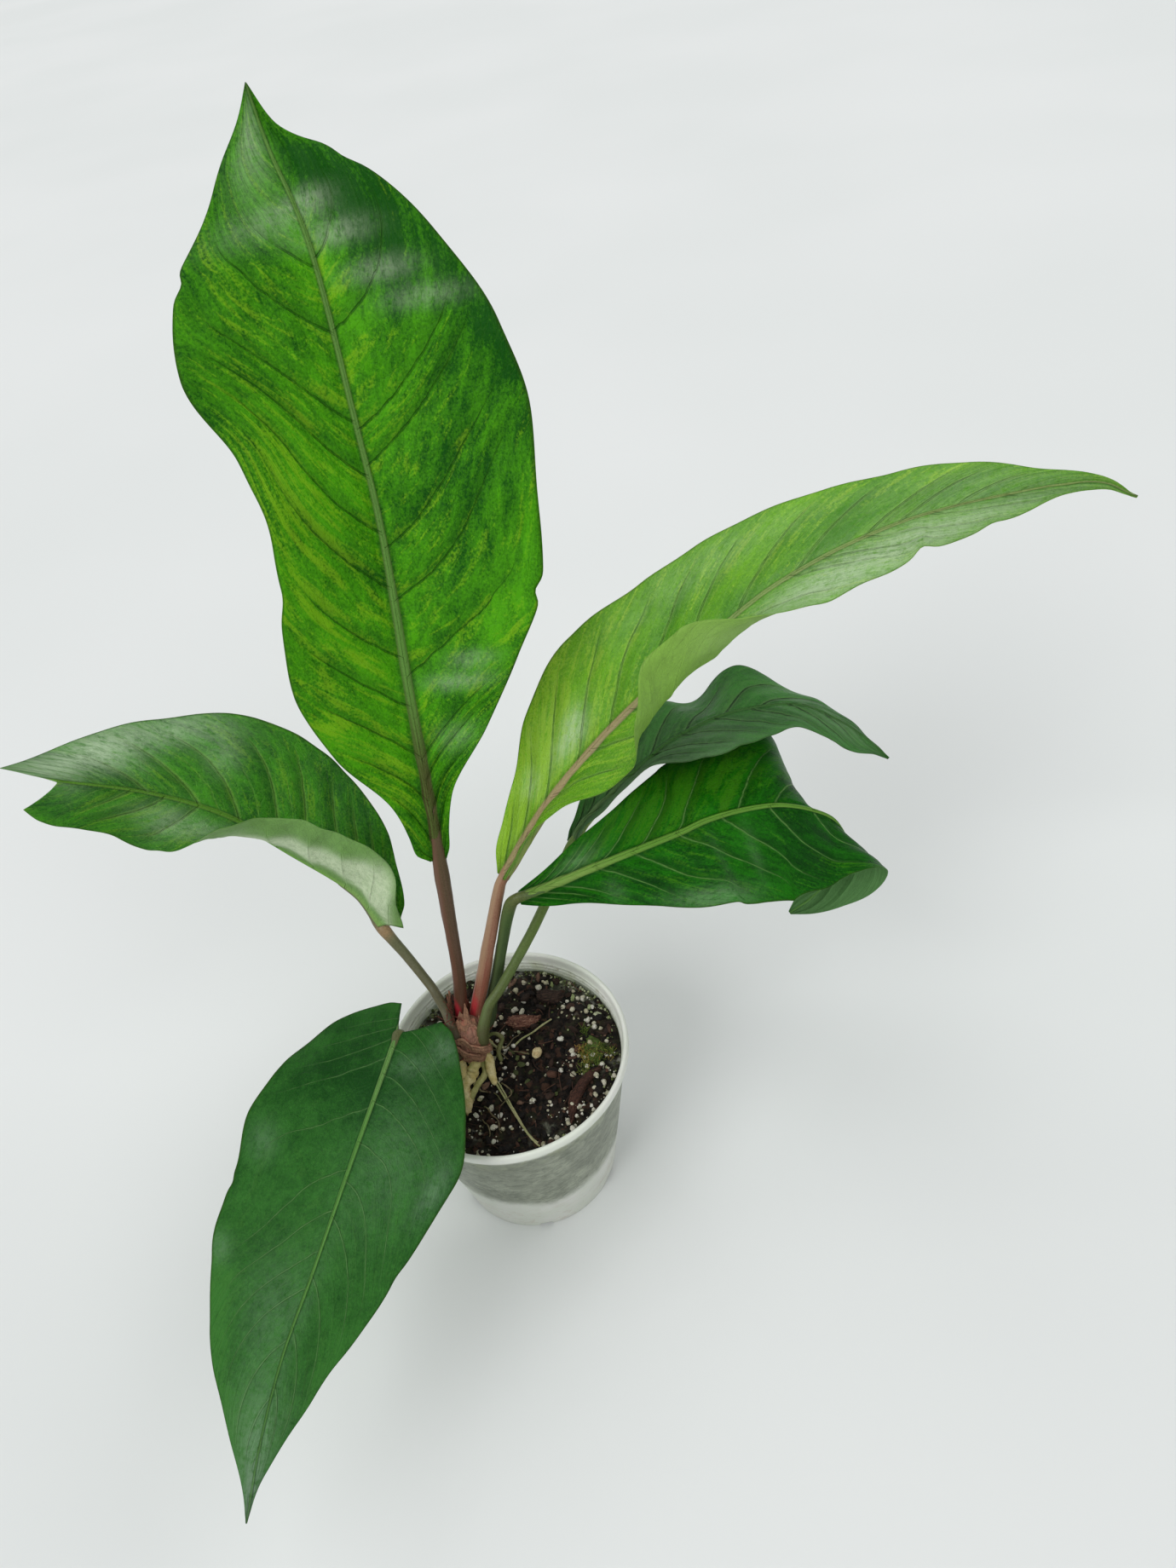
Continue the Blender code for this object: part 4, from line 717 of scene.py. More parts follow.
def leaf(name, spec, mat, rows=186, cols=42):
    blade = Blade(spec)
    s = np.linspace(0, 1, rows + 1)
    x = np.linspace(0, 1, cols + 1)
    halves = []
    for way, key in ((-1, "L"), (1, "R")):
        width = blade.half(key, s)
        c = np.clip(0.42 * cols / width, 0.12, 1)[:, None]
        t = c * x + (1 - c) * x**2.2
        s2 = np.repeat(s[:, None], cols + 1, 1)
        p = blade.point(s2.ravel(), t.ravel(), way).reshape(rows + 1, cols + 1, 3)
        count = vein_count(spec["veins" + key], s2, t)
        halves.append((p, s2, way * t, way * t * width[:, None], count))
    join = lambda k: np.concatenate([halves[0][k][:, ::-1], halves[1][k][:, 1:]], 1)
    grid, s2, t2, dmid, count = (join(k) for k in range(5))
    right_side = t2 > 0
    mid = cols
    down, over = np.gradient(grid, axis=0), np.gradient(grid, axis=1)
    normal = np.cross(over, down)
    normal /= np.linalg.norm(normal, axis=2)[..., None]
    above = blade.axes(s)[2]
    flip = (normal[:, mid] * above).sum(1) < 0
    normal[flip] *= -1
    # millimetres between lateral veins, by the surface's own metric
    pitch = np.zeros_like(s2)
    for cut in (slice(0, mid + 1), slice(mid, None)):
        n0, n1 = np.gradient(count[:, cut], axis=0), np.gradient(count[:, cut], axis=1)
        if cut.start == mid:
            own = vein_count(spec["veinsR"], s2[:, mid], np.zeros(rows + 1))
            part = count[:, cut].copy()
            part[:, 0] = own
            n0, n1 = np.gradient(part, axis=0), np.gradient(part, axis=1)
        e0, e1 = down[:, cut], over[:, cut]
        g00, g11, g01 = (e0 * e0).sum(2), (e1 * e1).sum(2), (e0 * e1).sum(2)
        steep = (n0 * n0 * g11 - 2 * n0 * n1 * g01 + n1 * n1 * g00) / np.maximum(g00 * g11 - g01 * g01, 1e-9)
        pitch[:, cut] = 1 / np.sqrt(np.maximum(steep, 1e-6))
    pitch = np.clip(pitch, 3.0, 40.0)
    at = abs(t2)
    width = np.maximum(abs(dmid) / np.maximum(at, 1e-6), 1)
    # relief: pillows between lateral veins, waves at the margin, small unevenness
    turn = count - np.floor(count)
    pillow = (0.5 - 0.5 * np.cos(2 * np.pi * turn)) ** 0.55
    body = step(at, 0.02, 0.16) * (1 - step(at, 0.7, 0.97)) * step(s2, 0.0, 0.08) * (1 - step(s2, 0.88, 0.98))
    relief = spec["quilt"] * (pillow - 0.6) * body
    for size, beats, shift in spec["wave"]:
        relief += size * at**3 * np.sin(2 * np.pi * (beats * s2 + shift + 0.13 * t2)) * step(s2, 0.02, 0.12) * (1 - step(s2, 0.9, 1))
    far = np.stack([s2 * blade.length / 9, dmid / 7, np.full_like(s2, spec["seed"])], -1)
    relief += 0.3 * fbm(far, 3) * step(at, 0, 0.1) * (1 - 0.5 * step(at, 0.8, 1))
    grid = grid + normal * relief[..., None]
    ribs = table(spec["ribs"], s)[:, None]
    ad = abs(dmid)
    ridge = 0.55 * ribs * np.exp(-((ad / (0.75 * ribs)) ** 4)) - 0.3 * np.exp(-(((ad - 2.0 * ribs) / (0.8 * ribs)) ** 2)) * step(s2, 0.0, 0.1)
    keel = 0.95 * ribs * np.exp(-((ad / (0.9 * ribs)) ** 2))
    near = abs(turn - np.round(turn)) * pitch
    bead = np.exp(-((near / 0.7) ** 2)) * (1 - step(at, 0.6, 0.95)) * step(at, 0.02, 0.08)
    thick = 0.42 - 0.2 * step(at, 0.1, 1)
    groove = -0.1 if not spec.get("raised") else 0.12
    top = grid + normal * (thick / 2 + ridge + groove * bead)[..., None]
    low = grid - normal * (thick / 2 + keel + 0.28 * bead)[..., None]
    n = grid.shape[0] * grid.shape[1]
    r, w = grid.shape[:2]
    faces = sheet_faces(r, w) + sheet_faces(r, w, n)
    a = np.arange(r - 1)
    for j in (0, w - 1):
        faces += np.stack([a * w + j, (a + 1) * w + j, n + (a + 1) * w + j, n + a * w + j], -1).tolist()
    b = np.arange(w - 1)
    for i in (0, r - 1):
        faces += np.stack([i * w + b, i * w + b + 1, n + i * w + b + 1, n + i * w + b], -1).tolist()
    # each half's own count where the halves meet
    seed = spec["seed"]
    along = ad * 1.25 + np.where(right_side, 300.0, 0.0) + seed * 17
    across = count * 14.0 + seed * 5
    two = lambda z: np.concatenate([z.ravel(), z.ravel()])
    under = np.concatenate([np.zeros(n), np.ones(n)])
    # leaf_d carries the tone patches (own mottling with painted light and shade) and the film patches (painted sheen)
    fields = {
        "leaf_a": np.stack([two(count), two(pitch), two(dmid)], 1),
        "leaf_b": np.stack([two(s2), two(t2), under], 1),
        "leaf_c": np.stack([two(along), two(across), np.full(2 * n, seed)], 1),
        "leaf_d": np.stack([two(patches(spec["tone"], s2, t2)), two(patches(spec["film"], s2, t2)), two(np.broadcast_to(ribs, s2.shape))], 1),
    }
    verts = np.vstack([top.reshape(-1, 3), low.reshape(-1, 3)])
    return make("blade_" + name, verts, faces, mat, ["leaf_" + name], fields)


SKINS = {
    "upright": leaf_material("skin_upright", (0.004, 0.085, 0.0015), (0.084, 0.4, 0.003), (0.28, 0.55, 0.012), (0.16, 0.3, 0.07), (0.12, 0.27, 0.05), (0.07, 0.065, 0.018), (0.006, 0.08, 0.002), (0.07, 0.26, 0.01), vein_gain=0.65, edge_gain=0.18, shading=0.3, streak=0.55, mottle=0.6, rough=0.3, specular=0.12, fade=(0.9, 0.8), long=265.0),
    "lime": leaf_material("skin_lime", (0.055, 0.24, 0.004), (0.17, 0.46, 0.007), (0.38, 0.62, 0.04), (0.26, 0.5, 0.07), (0.24, 0.36, 0.1), (0.4, 0.28, 0.16), (0.03, 0.16, 0.004), (0.3, 0.52, 0.12), vein_gain=0.55, edge_gain=0.25, shading=0.35, streak=0.58, mottle=0.5, rough=0.27, sheen_colour=(0.56, 0.72, 0.46), rib_base_at=(0.28, 0.42), margin=(0.08, 0.18, 0.01), coat=0.05, specular=0.2, pale=(0.4, 0.55, 0.25), long=255.0),
    "rear": leaf_material("skin_rear", (0.014, 0.085, 0.011), (0.056, 0.24, 0.036), (0.12, 0.3, 0.06), (0.1, 0.2, 0.08), (0.05, 0.16, 0.03), (0.15, 0.26, 0.1), (0.004, 0.03, 0.005), (0.12, 0.26, 0.08), vein_w=0.4, vein_gain=0.85, edge_gain=0.5, streak=0.3, mottle=0.6, rough=0.36, sheen_colour=(0.24, 0.38, 0.22), specular=0.2, long=165.0),
    "front": leaf_material("skin_front", (0.0015, 0.05, 0.0015), (0.014, 0.18, 0.003), (0.09, 0.3, 0.01), (0.12, 0.28, 0.09), (0.13, 0.3, 0.04), (0.22, 0.36, 0.08), (0.15, 0.33, 0.08), (0.02, 0.12, 0.012), vein_w=0.34, vein_gain=0.7, edge_gain=0.35, streak=0.4, mottle=0.7, rough=0.34, sheen_colour=(0.26, 0.46, 0.22), raised=True, specular=0.09, long=165.0),
    "drooping": leaf_material("skin_drooping", (0.003, 0.06, 0.003), (0.034, 0.175, 0.02), (0.1, 0.26, 0.04), (0.12, 0.26, 0.08), (0.1, 0.26, 0.05), (0.15, 0.3, 0.08), (0.12, 0.28, 0.08), (0.04, 0.15, 0.025), vein_w=0.22, vein_gain=0.6, edge_gain=0.18, shading=0.1, streak=0.1, mottle=0.5, rough=0.42, sheen_colour=(0.24, 0.38, 0.24), raised=True, specular=0.16, rib_fade=(0.5, 1.1), grainy=1.0, long=185.0, swell=0.7),
    "left": leaf_material("skin_left", (0.006, 0.1, 0.002), (0.055, 0.3, 0.005), (0.2, 0.44, 0.012), (0.2, 0.4, 0.1), (0.1, 0.27, 0.02), (0.2, 0.27, 0.08), (0.012, 0.09, 0.004), (0.19, 0.42, 0.06), vein_gain=0.6, edge_gain=0.5, streak=0.5, mottle=0.7, rough=0.3, sheen_colour=(0.54, 0.72, 0.46), specular=0.22, pale=(0.66, 0.78, 0.52), long=150.0),
}
for key in ("front", "drooping"):
    LEAVES[key]["raised"] = True
for key, spec in LEAVES.items():
    leaf(key, spec, SKINS[key])


# ---------------------------------------------------------------- stalks
def stalk_material(name, low, mid, high, flush, line, joint, rough=0.34):
    """Stalk skin. stalk_a: share of the length, angle, mm along."""
    g = Graph(name)
    share, angle, along = g.split(g.field("stalk_a"))
    red, seam, swell = g.split(g.field("stalk_b"))
    spot = g.spot()
    fibre = g.noise(g.join(g.mul(along, 0.05), g.mul(angle, 5.0), 0.0), 1.0, 4.0, 0.6)
    blotch = g.noise(spot, 0.22, 3.0, 0.6)
    fine = g.noise(spot, 1.6, 3.0, 0.6)
    colour = g.ramp(g.add(share, g.mul(g.add(blotch, -0.5), 0.25)), [(0.0, low), (0.35, mid), (0.9, high)])
    colour = g.mix(g.span(fibre, 0.35, 0.7, 0.0, 0.5), colour, g.mix(0.5, colour, line))
    colour = g.mix(g.mul(g.span(fine, 0.45, 0.62), 0.25), colour, tuple(0.5 * x for x in low))
    colour = g.mix(g.mul(seam, 0.75), colour, line)
    colour = g.mix(g.mul(g.mul(red, g.span(fine, 0.2, 0.6, 0.6, 1.0)), g.span(fibre, 0.3, 0.7, 1.0, 0.6)), colour, flush)
    colour = g.mix(swell, colour, g.mix(g.span(fine, 0.3, 0.7), joint, tuple(0.6 * x for x in joint)))
    g.bump(g.add(g.mul(fibre, 0.7), g.mul(fine, 0.35)), 0.00025, 0.8)
    return g.finish(colour, g.span(fine, 0.3, 0.7, rough - 0.02, rough + 0.14), Specular_IOR_Level=0.3)


STALK_SKINS = {
    "upright": stalk_material("stalk_upright", (0.08, 0.026, 0.016), (0.08, 0.05, 0.022), (0.1, 0.085, 0.03), (0.45, 0.02, 0.04), (0.2, 0.085, 0.06), (0.1, 0.1, 0.03)),
    "lime": stalk_material("stalk_lime", (0.26, 0.06, 0.04), (0.25, 0.1, 0.06), (0.27, 0.15, 0.075), (0.45, 0.02, 0.035), (0.5, 0.36, 0.22), (0.3, 0.24, 0.1)),
    "front": stalk_material("stalk_front", (0.035, 0.05, 0.022), (0.04, 0.07, 0.022), (0.06, 0.14, 0.022), (0.2, 0.06, 0.04), (0.12, 0.17, 0.06), (0.12, 0.14, 0.035)),
    "rear": stalk_material("stalk_rear", (0.075, 0.062, 0.028), (0.085, 0.135, 0.024), (0.17, 0.27, 0.04), (0.2, 0.07, 0.045), (0.16, 0.22, 0.09), (0.2, 0.3, 0.07)),
    "left": stalk_material("stalk_left", (0.065, 0.04, 0.022), (0.08, 0.08, 0.034), (0.15, 0.175, 0.075), (0.13, 0.04, 0.03), (0.17, 0.15, 0.085), (0.5, 0.28, 0.14)),
    "drooping": stalk_material("stalk_drooping", (0.06, 0.04, 0.028), (0.06, 0.06, 0.028), (0.1, 0.13, 0.04), (0.2, 0.06, 0.04), (0.15, 0.14, 0.085), (0.2, 0.22, 0.08)),
}
RED_AT = {"upright": (121.0, 1.0), "lime": (122.0, 1.0), "front": (108.0, 0.2), "rear": (108.0, 0.3), "left": (108.0, 0.4), "drooping": (102.0, 0.2)}

for key, path in PETIOLES.items():
    blade = Blade(LEAVES[key])
    run = []
    for share, radius, depth in RUN_ON[key]:
        q = np.array([share])
        run.append((*(blade.middle(q)[0] - depth * blade.axes(q)[2][0]), radius))
    points = FEET[key] + path + run
    joint = len(FEET[key]) + len(path) - 1
    total = len(points) - 1
    joint_share = joint / total

    def shape(share, angle, along, key=key, joint_share=joint_share):
        seed = LEAVES[key]["seed"]
        wobble = 0.05 * fbm(np.stack([along / 9, 1.3 * np.cos(angle) + seed, 1.3 * np.sin(angle)], -1), 3)
        flat = -0.07 * np.exp(-(((angle - math.pi / 2) / 0.5) ** 2))
        return 1 + wobble + flat

    verts, faces, share, angle, along, outward = tube(points, 150, 24, shape, (True, True), up=(0, -1, 0.2))
    # distance from the blade's start, for the swollen joint
    end = np.array(path[-1][:3])
    swell = np.exp(-((np.linalg.norm(verts - end, axis=1) / (3.4 if key == "left" else 6.0)) ** 2)) if key in ("left", "drooping", "front") else 0 * share
    red_from, red_amount = RED_AT[key]
    low = step(verts[:, 2], red_from, red_from - 11)
    left_face = step(outward @ np.array([-0.94, -0.34, 0.0]), 0.25, 0.8)
    red = red_amount * low * step(outward @ np.array([-0.94, -0.34, 0.0]), 1.0 - 0.95 * low, 1.35 - 0.75 * low)
    seam = left_face * step(verts[:, 2], red_from - 4, red_from + 8) * 0.6
    make("stalk_" + key, verts, faces, STALK_SKINS[key], ["petiole_" + key], {"stalk_a": np.stack([share, angle, along], 1), "stalk_b": np.stack([red, seam, swell], 1)})


# ---------------------------------------------------------------- crown
def papery(name, light, mid, dark, red, ring=0.85):
    g = Graph(name)
    share, angle, along = g.split(g.field("stalk_a"))
    spot = g.spot()
    bands = g.math("FRACT", g.add(g.mul(along, 0.42), g.mul(g.noise(spot, 0.25, 2.0), 1.1)))
    fibre = g.noise(g.join(g.mul(angle, 9.0), g.mul(along, 0.22), 0.0), 1.0, 5.0, 0.7)
    blotch = g.noise(spot, 0.35, 4.0, 0.6)
    fine = g.noise(spot, 2.0, 4.0, 0.65)
    colour = g.mix(g.span(blotch, 0.3, 0.7), mid, light)
    colour = g.mix(g.span(fibre, 0.42, 0.62, 0.0, 0.75), colour, dark)
    colour = g.mix(g.mul(g.span(blotch, 0.5, 0.66), 0.6), colour, red)
    colour = g.mix(g.span(bands, 0.16, 0.0, 0.0, ring), colour, tuple(0.35 * x for x in dark))
    colour = g.mix(g.span(fine, 0.3, 0.7, 0.0, 0.3), colour, tuple(min(1, 1.5 * x) for x in light))
    g.bump(g.add(g.add(g.mul(fibre, 1.0), g.mul(fine, 0.5)), g.mul(g.span(bands, 0.2, 0.0), -1.4 * ring)), 0.0005, 1.0)
    return g.finish(colour, g.span(fine, 0.3, 0.7, 0.6, 0.9), Specular_IOR_Level=0.3)


crown_skin = papery("crown_skin", (0.36, 0.19, 0.13), (0.22, 0.1, 0.065), (0.08, 0.034, 0.024), (0.34, 0.09, 0.06), 0.3)
band_skin = papery("band_skin", (0.46, 0.27, 0.17), (0.31, 0.15, 0.085), (0.11, 0.045, 0.028), (0.36, 0.12, 0.075), 0.5)
paper_skin = papery("paper_skin", (0.34, 0.19, 0.11), (0.19, 0.09, 0.05), (0.06, 0.026, 0.018), (0.3, 0.07, 0.05), 0.3)

CROWN = [(-14.4, 1.4, 89.2, 4.2), (-14.2, 1.2, 91.6, 5.8), (-13.9, 1.0, 96.0, 6.8), (-13.3, 1.7, 101.2, 6.7), (-13.0, 4.0, 104.5, 5.2), (-12.7, 6.8, 107.8, 3.2)]
crown_line = spline(CROWN, np.linspace(0, 1, 300))


def crown_at(z):
    """Centre x, y and radius of the crown at height z."""
    return tuple(np.interp(z, crown_line[:, 2], crown_line[:, k]) for k in (0, 1, 3))


def ringed(share, angle, along):
    tilt = along + 0.9 * np.cos(angle + 0.6)
    rings = tilt / 3.4
    lip = (rings - np.floor(rings)) ** 3
    wob = fbm(np.stack([2.2 * np.cos(angle), 2.2 * np.sin(angle), along / 3], -1), 4)
    return 1 + 0.035 * lip + 0.05 * wob


verts, faces, share, angle, along, outward = tube(CROWN, 110, 96, ringed)
make("crown", verts, faces, crown_skin, ["stem"], {"stalk_a": np.stack([share, angle, along], 1)})

# old leaf-base bands wrapped round the crown, each a little askew
bands = Heap()
for number, (z, height, extra, tilt, facing) in enumerate([(88.9, 3.4, 0.2, 3.6, 243), (90.4, 4.0, 0.5, 5.2, 252), (92.4, 4.8, 0.8, 6.6, 216), (95.7, 5.2, 1.0, 7.2, 243)]):
    cols, q = 144, np.linspace(0, 1, 10)
    a = np.linspace(0, 2 * np.pi, cols, endpoint=False)
    wob = fbm(np.stack([2.4 * np.cos(a), 2.4 * np.sin(a), 0 * a + 5.0 * number], -1), 4)
    cz = z + tilt * np.cos(a - math.radians(facing)) + 0.35 * wob
    cx, cy, cr = crown_at(cz)
    rings = []
    for k, (u, skin) in enumerate([(u, 0.0) for u in q] + [(u, 0.75) for u in q[::-1]]):
        fold = 0.2 * fbm(np.stack([3.5 * np.cos(a), 3.5 * np.sin(a), 0 * a + 2.2 * u + 9.0 * number], -1), 4)
        out = extra + 0.45 * math.sin(math.pi * u) ** 0.7 + 0.35 * (1 - u) ** 3 + 0.3 * u**6 - skin + fold
        r = cr + out + 1.0 * np.exp(-((((a + 0.62 + math.pi) % (2 * math.pi) - math.pi) / 0.6) ** 2)) * (0.4 + 0.2 * number)
        rings.append(np.stack([cx + r * np.cos(a), cy + r * np.sin(a), cz + (u - 0.5) * height * (1 + 0.18 * wob)], -1))
    verts = np.array(rings)
    rows = len(rings)
    faces = sheet_faces(rows, cols, 0, True)
    for j in range(cols):
        k = (j + 1) % cols
        faces.append([(rows - 1) * cols + j, (rows - 1) * cols + k, k, j])
    along_band = np.array([u for u in q] + [u for u in q[::-1]])[:, None] * height + 0 * a[None, :] + 7.0 * number
    share_band = 0 * along_band + 0.2 * number
    angle_band = a[None, :] + 0 * along_band
    bands.add(verts.reshape(-1, 3), faces, stalk_a=np.stack([share_band.ravel(), angle_band.ravel(), along_band.ravel()], 1))
bands.make("crown_bands", band_skin, "crown")

# sheaths of old leaves, open and ragged at the top, hugging the bases of the two tall stalks
BRACTS = {
    "front": (-172, -18, 98.6, 110.4, 0.35, 0.3),
    "left": (120, 200, 97.0, 112.0, 0.8, 0.45),
    "back": (24, 112, 95.0, 107.5, 0.8, 0.35),
}


def sheath_at(a, u, low, high, off):
    """A point of a sheath: angle a round the crown, u from its foot on the crown to its edge."""
    z0 = low + 4.2 * np.cos(a + 2.04)
    cx, cy, cr = crown_at(z0)
    foot_ = np.stack([cx + (cr + off) * np.cos(a), cy + (cr + off) * np.sin(a), z0], -1)
    edge_ = np.stack([-12.3 + (6.5 + off) * np.cos(a), 9.3 + (3.9 + off) * np.sin(a), high - 2.4 * np.cos(a)], -1)
    swell_ = np.stack([0.7 * np.cos(a), 0.7 * np.sin(a), 0.5 + 0 * a], -1)
    return foot_ + (edge_ - foot_) * u[..., None] + swell_ * np.sin(np.pi * np.clip(u, 0, 1))[..., None]


for number, (key, (start, end, low, high, off, ragged)) in enumerate(BRACTS.items()):
    rows, cols = 66, 78
    u = np.linspace(0, 1, rows)[:, None] * np.ones(cols)[None, :]
    v = np.linspace(-1, 1, cols)[None, :] * np.ones(rows)[:, None]
    a = np.radians((start + end) / 2 + v * (end - start) / 2)
    # the edge stands up between the two tall stalks and dips in front of each
    between = 0.34 * np.exp(-(((a + 1.68) / 0.2) ** 2)) - 0.12 * np.exp(-(((a + 1.12) / 0.26) ** 2)) - 0.1 * np.exp(-(((a + 2.3) / 0.26) ** 2))
    rag = ragged * 0.75 * fbm(np.stack([v * 7 + 9 * number, 0 * v, 0 * v + 3.3], -1), 5)
    reach = np.clip(0.98 - 0.45 * abs(v) ** 3 + rag + (between if key == "front" else 0), 0.3, 1.4)
    lumps = 0.35 * fbm(np.stack([v * 4 + 5 * number, u * 3, 0 * u], -1), 4) + 0.2 * np.sin(v * 17 + 2 * number + 7 * u)
    where = sheath_at(a, u * reach, low, high, off)
    push = np.stack([np.cos(a), np.sin(a), 0 * a], -1)
    inner_side, outer_side = where + push * lumps[..., None], where + push * (lumps + 0.28)[..., None]
    n = rows * cols
    faces = sheet_faces(rows, cols) + sheet_faces(rows, cols, n)
    i = np.arange(rows - 1)
    for j in (0, cols - 1):
        faces += np.stack([i * cols + j, (i + 1) * cols + j, n + (i + 1) * cols + j, n + i * cols + j], -1).tolist()
    j = np.arange(cols - 1)
    for i in (0, rows - 1):
        faces += np.stack([i * cols + j, i * cols + j + 1, n + i * cols + j + 1, n + i * cols + j], -1).tolist()
    fld = np.stack([u.ravel(), a.ravel(), (12 * u * reach + 2.0 * abs(v)).ravel()], 1)
    make("papery_bract_" + key, np.vstack([inner_side.reshape(-1, 3), outer_side.reshape(-1, 3)]), faces, paper_skin, ["bract_" + key], {"stalk_a": np.vstack([fld, fld])})

# the oval scar with its nested lines on the front sheath
scars = Heap()
for number, (wide, tall, low_u) in enumerate(((0.3, 0.3, 0.42), (0.2, 0.2, 0.4), (0.1, 0.1, 0.37))):
    w = np.linspace(0, 2 * np.pi, 40)
    a = math.radians(-82) + wide * np.sin(w)
    u = low_u + tall * np.where(np.cos(w) > 0, np.cos(w), np.cos(w) * (1.15 - 0.4 * abs(np.sin(w))))
    line = sheath_at(a, u, 98.6, 110.4, 1.0)
    pts = [(*q, 0.42 - 0.06 * number) for q in line]
    verts, faces, share, angle, along, outward = tube(pts[:-1], 90, 8)
    scars.add(verts, faces, stalk_a=np.stack([share, angle, along], 1))
scars.make("sheath_scar", band_skin, "papery_bract")

# shreds of old sheath: thin fibres standing off the crown, most of them on the left
rng = np.random.RandomState(5)
shreds = Heap()
for k in range(84):
    if k < 64:
        a = math.radians(186 + 26 * rng.randn())
        base = sheath_at(np.array([a]), np.array([0.35 + 0.6 * rng.rand()]), 98.0, 111.0, 0.9)[0]
    else:
        a = rng.rand() * 2 * math.pi
        z = 91 + 8 * rng.rand()
        cx, cy, cr = crown_at(z)
        base = np.array([cx + (cr + 1.0) * math.cos(a), cy + (cr + 1.0) * math.sin(a), z])
    long = 2.0 + 3.6 * rng.rand()
    drift = np.array([math.cos(a) * 0.35 + 0.3 * rng.randn(), math.sin(a) * 0.35 + 0.3 * rng.randn(), 0.9 + 0.3 * rng.randn()])
    drift /= np.linalg.norm(drift)
    bend = rng.randn(3) * 0.3
    pts = [(*(base + drift * long * w + bend * long * w * w), 0.3 * (1 - 0.6 * w)) for w in (0, 0.33, 0.66, 1)]
    verts, faces, share, angle, along, outward = tube(pts, 10, 6)
    shreds.add(verts, faces, stalk_a=np.stack([share, angle, along], 1))
shreds.make("crown_shreds", papery("shred_skin", (0.3, 0.1, 0.065), (0.2, 0.055, 0.035), (0.08, 0.026, 0.018), (0.34, 0.05, 0.035), 0.2), "papery_bract")

# ---------------------------------------------------------------- roots
def root_material(name, pale, tan, brown, green):
    g = Graph(name)
    share, angle, along = g.split(g.field("stalk_a"))
    spot = g.spot()
    blotch = g.noise(spot, 0.3, 4.0, 0.6)
    fine = g.noise(spot, 1.7, 4.0, 0.7)
    speck = g.cells(spot, 1.3)
    warts = g.cells(spot, 2.2)
    colour = g.mix(g.span(blotch, 0.32, 0.68), tan, pale)
    colour = g.mix(g.span(g.noise(spot, 0.12, 2.0), 0.48, 0.66, 0.0, 0.55), colour, green)
    colour = g.mix(g.span(fine, 0.54, 0.72, 0.0, 0.6), colour, brown)
    colour = g.mix(g.span(speck, 0.24, 0.08, 0.0, 0.35), colour, brown)
    colour = g.mix(g.span(along, 17.0, 26.0, 0.0, 0.25), colour, brown)
    g.bump(g.add(g.mul(warts, -0.6), g.mul(fine, 0.9)), 0.0004, 1.0)
    return g.finish(colour, g.span(fine, 0.3, 0.7, 0.5, 0.8), Specular_IOR_Level=0.35)


ROOT_SKINS = {
    "pale": root_material("root_pale", (0.86, 0.74, 0.4), (0.66, 0.53, 0.2), (0.22, 0.13, 0.05), (0.56, 0.52, 0.17)),
    "green": root_material("root_green", (0.56, 0.54, 0.24), (0.38, 0.37, 0.13), (0.14, 0.1, 0.04), (0.32, 0.38, 0.1)),
    "thin": root_material("root_thin", (0.5, 0.48, 0.25), (0.34, 0.34, 0.15), (0.12, 0.1, 0.05), (0.26, 0.32, 0.11)),
    "olive": root_material("root_olive", (0.2, 0.2, 0.08), (0.11, 0.12, 0.035), (0.06, 0.035, 0.018), (0.09, 0.13, 0.03)),
    "brown": root_material("root_brown", (0.24, 0.2, 0.11), (0.13, 0.1, 0.05), (0.05, 0.035, 0.02), (0.1, 0.12, 0.035)),
}
ROOT_KIND = {"middle": "green", "to_rim": "thin", "surface": "thin"}
for number, (key, path) in enumerate(ROOTS.items()):
    lump = ROOT_LUMPS[key]

    def knobs(share, angle, along, lump=lump, number=number):
        p = np.stack([1.1 * np.cos(angle) + 4 * number, 1.1 * np.sin(angle), along / 2.6], -1)
        rings = 0.25 * lump * np.sin(along * 2.4 + 2 * np.cos(angle))
        return 1 + lump * fbm(p, 4) + rings + 0.35 * lump * np.maximum(noise3(p * 2.3 + 11), 0)

    count = int(sum(np.linalg.norm(np.subtract(a[:3], b[:3])) for a, b in zip(path, path[1:])) / 0.3)
    verts, faces, share, angle, along, outward = tube(path, max(count, 60), 32 if path[1][3] > 1 else 16, knobs)
    make("stilt_" + key, verts, faces, ROOT_SKINS[ROOT_KIND.get(key, "pale")], ["root_" + key], {"stalk_a": np.stack([share, angle, along], 1)})

# fine side roots over the soil
rng = np.random.RandomState(9)
rootlets = Heap()


def soil_height(x, y):
    return SOIL_EDGE + SOIL_DOME * np.maximum(0.0, 1 - (x * x + y * y) / POT_IN_TOP**2)


for k in range(12):
    a, r = rng.rand() * 2 * math.pi, 6 + 30 * rng.rand()
    x, y = -8 + r * math.cos(a) * 0.8, -2 + r * math.sin(a) * 0.8
    heading = rng.rand() * 2 * math.pi
    pts = []
    for w in range(7):
        z = float(soil_height(x, y)) + 1.6 + 1.2 * math.sin(w * 1.1 + k)
        pts.append((x, y, z, 0.34 - 0.03 * w + 0.08 * rng.rand()))
        heading += 0.5 * rng.randn()
        x += 2.6 * math.cos(heading)
        y += 2.6 * math.sin(heading)
        if math.hypot(x, y) > 44:
            break
    if len(pts) > 3:
        verts, faces, share, angle, along, outward = tube(pts, 46, 8, lambda s, a, m: 1 + 0.2 * np.sin(m * 1.7 + 3 * np.cos(a)))
        rootlets.add(verts, faces, stalk_a=np.stack([share, angle, along], 1))
rootlets.make("rootlets", ROOT_SKINS["brown"], "root_skin")
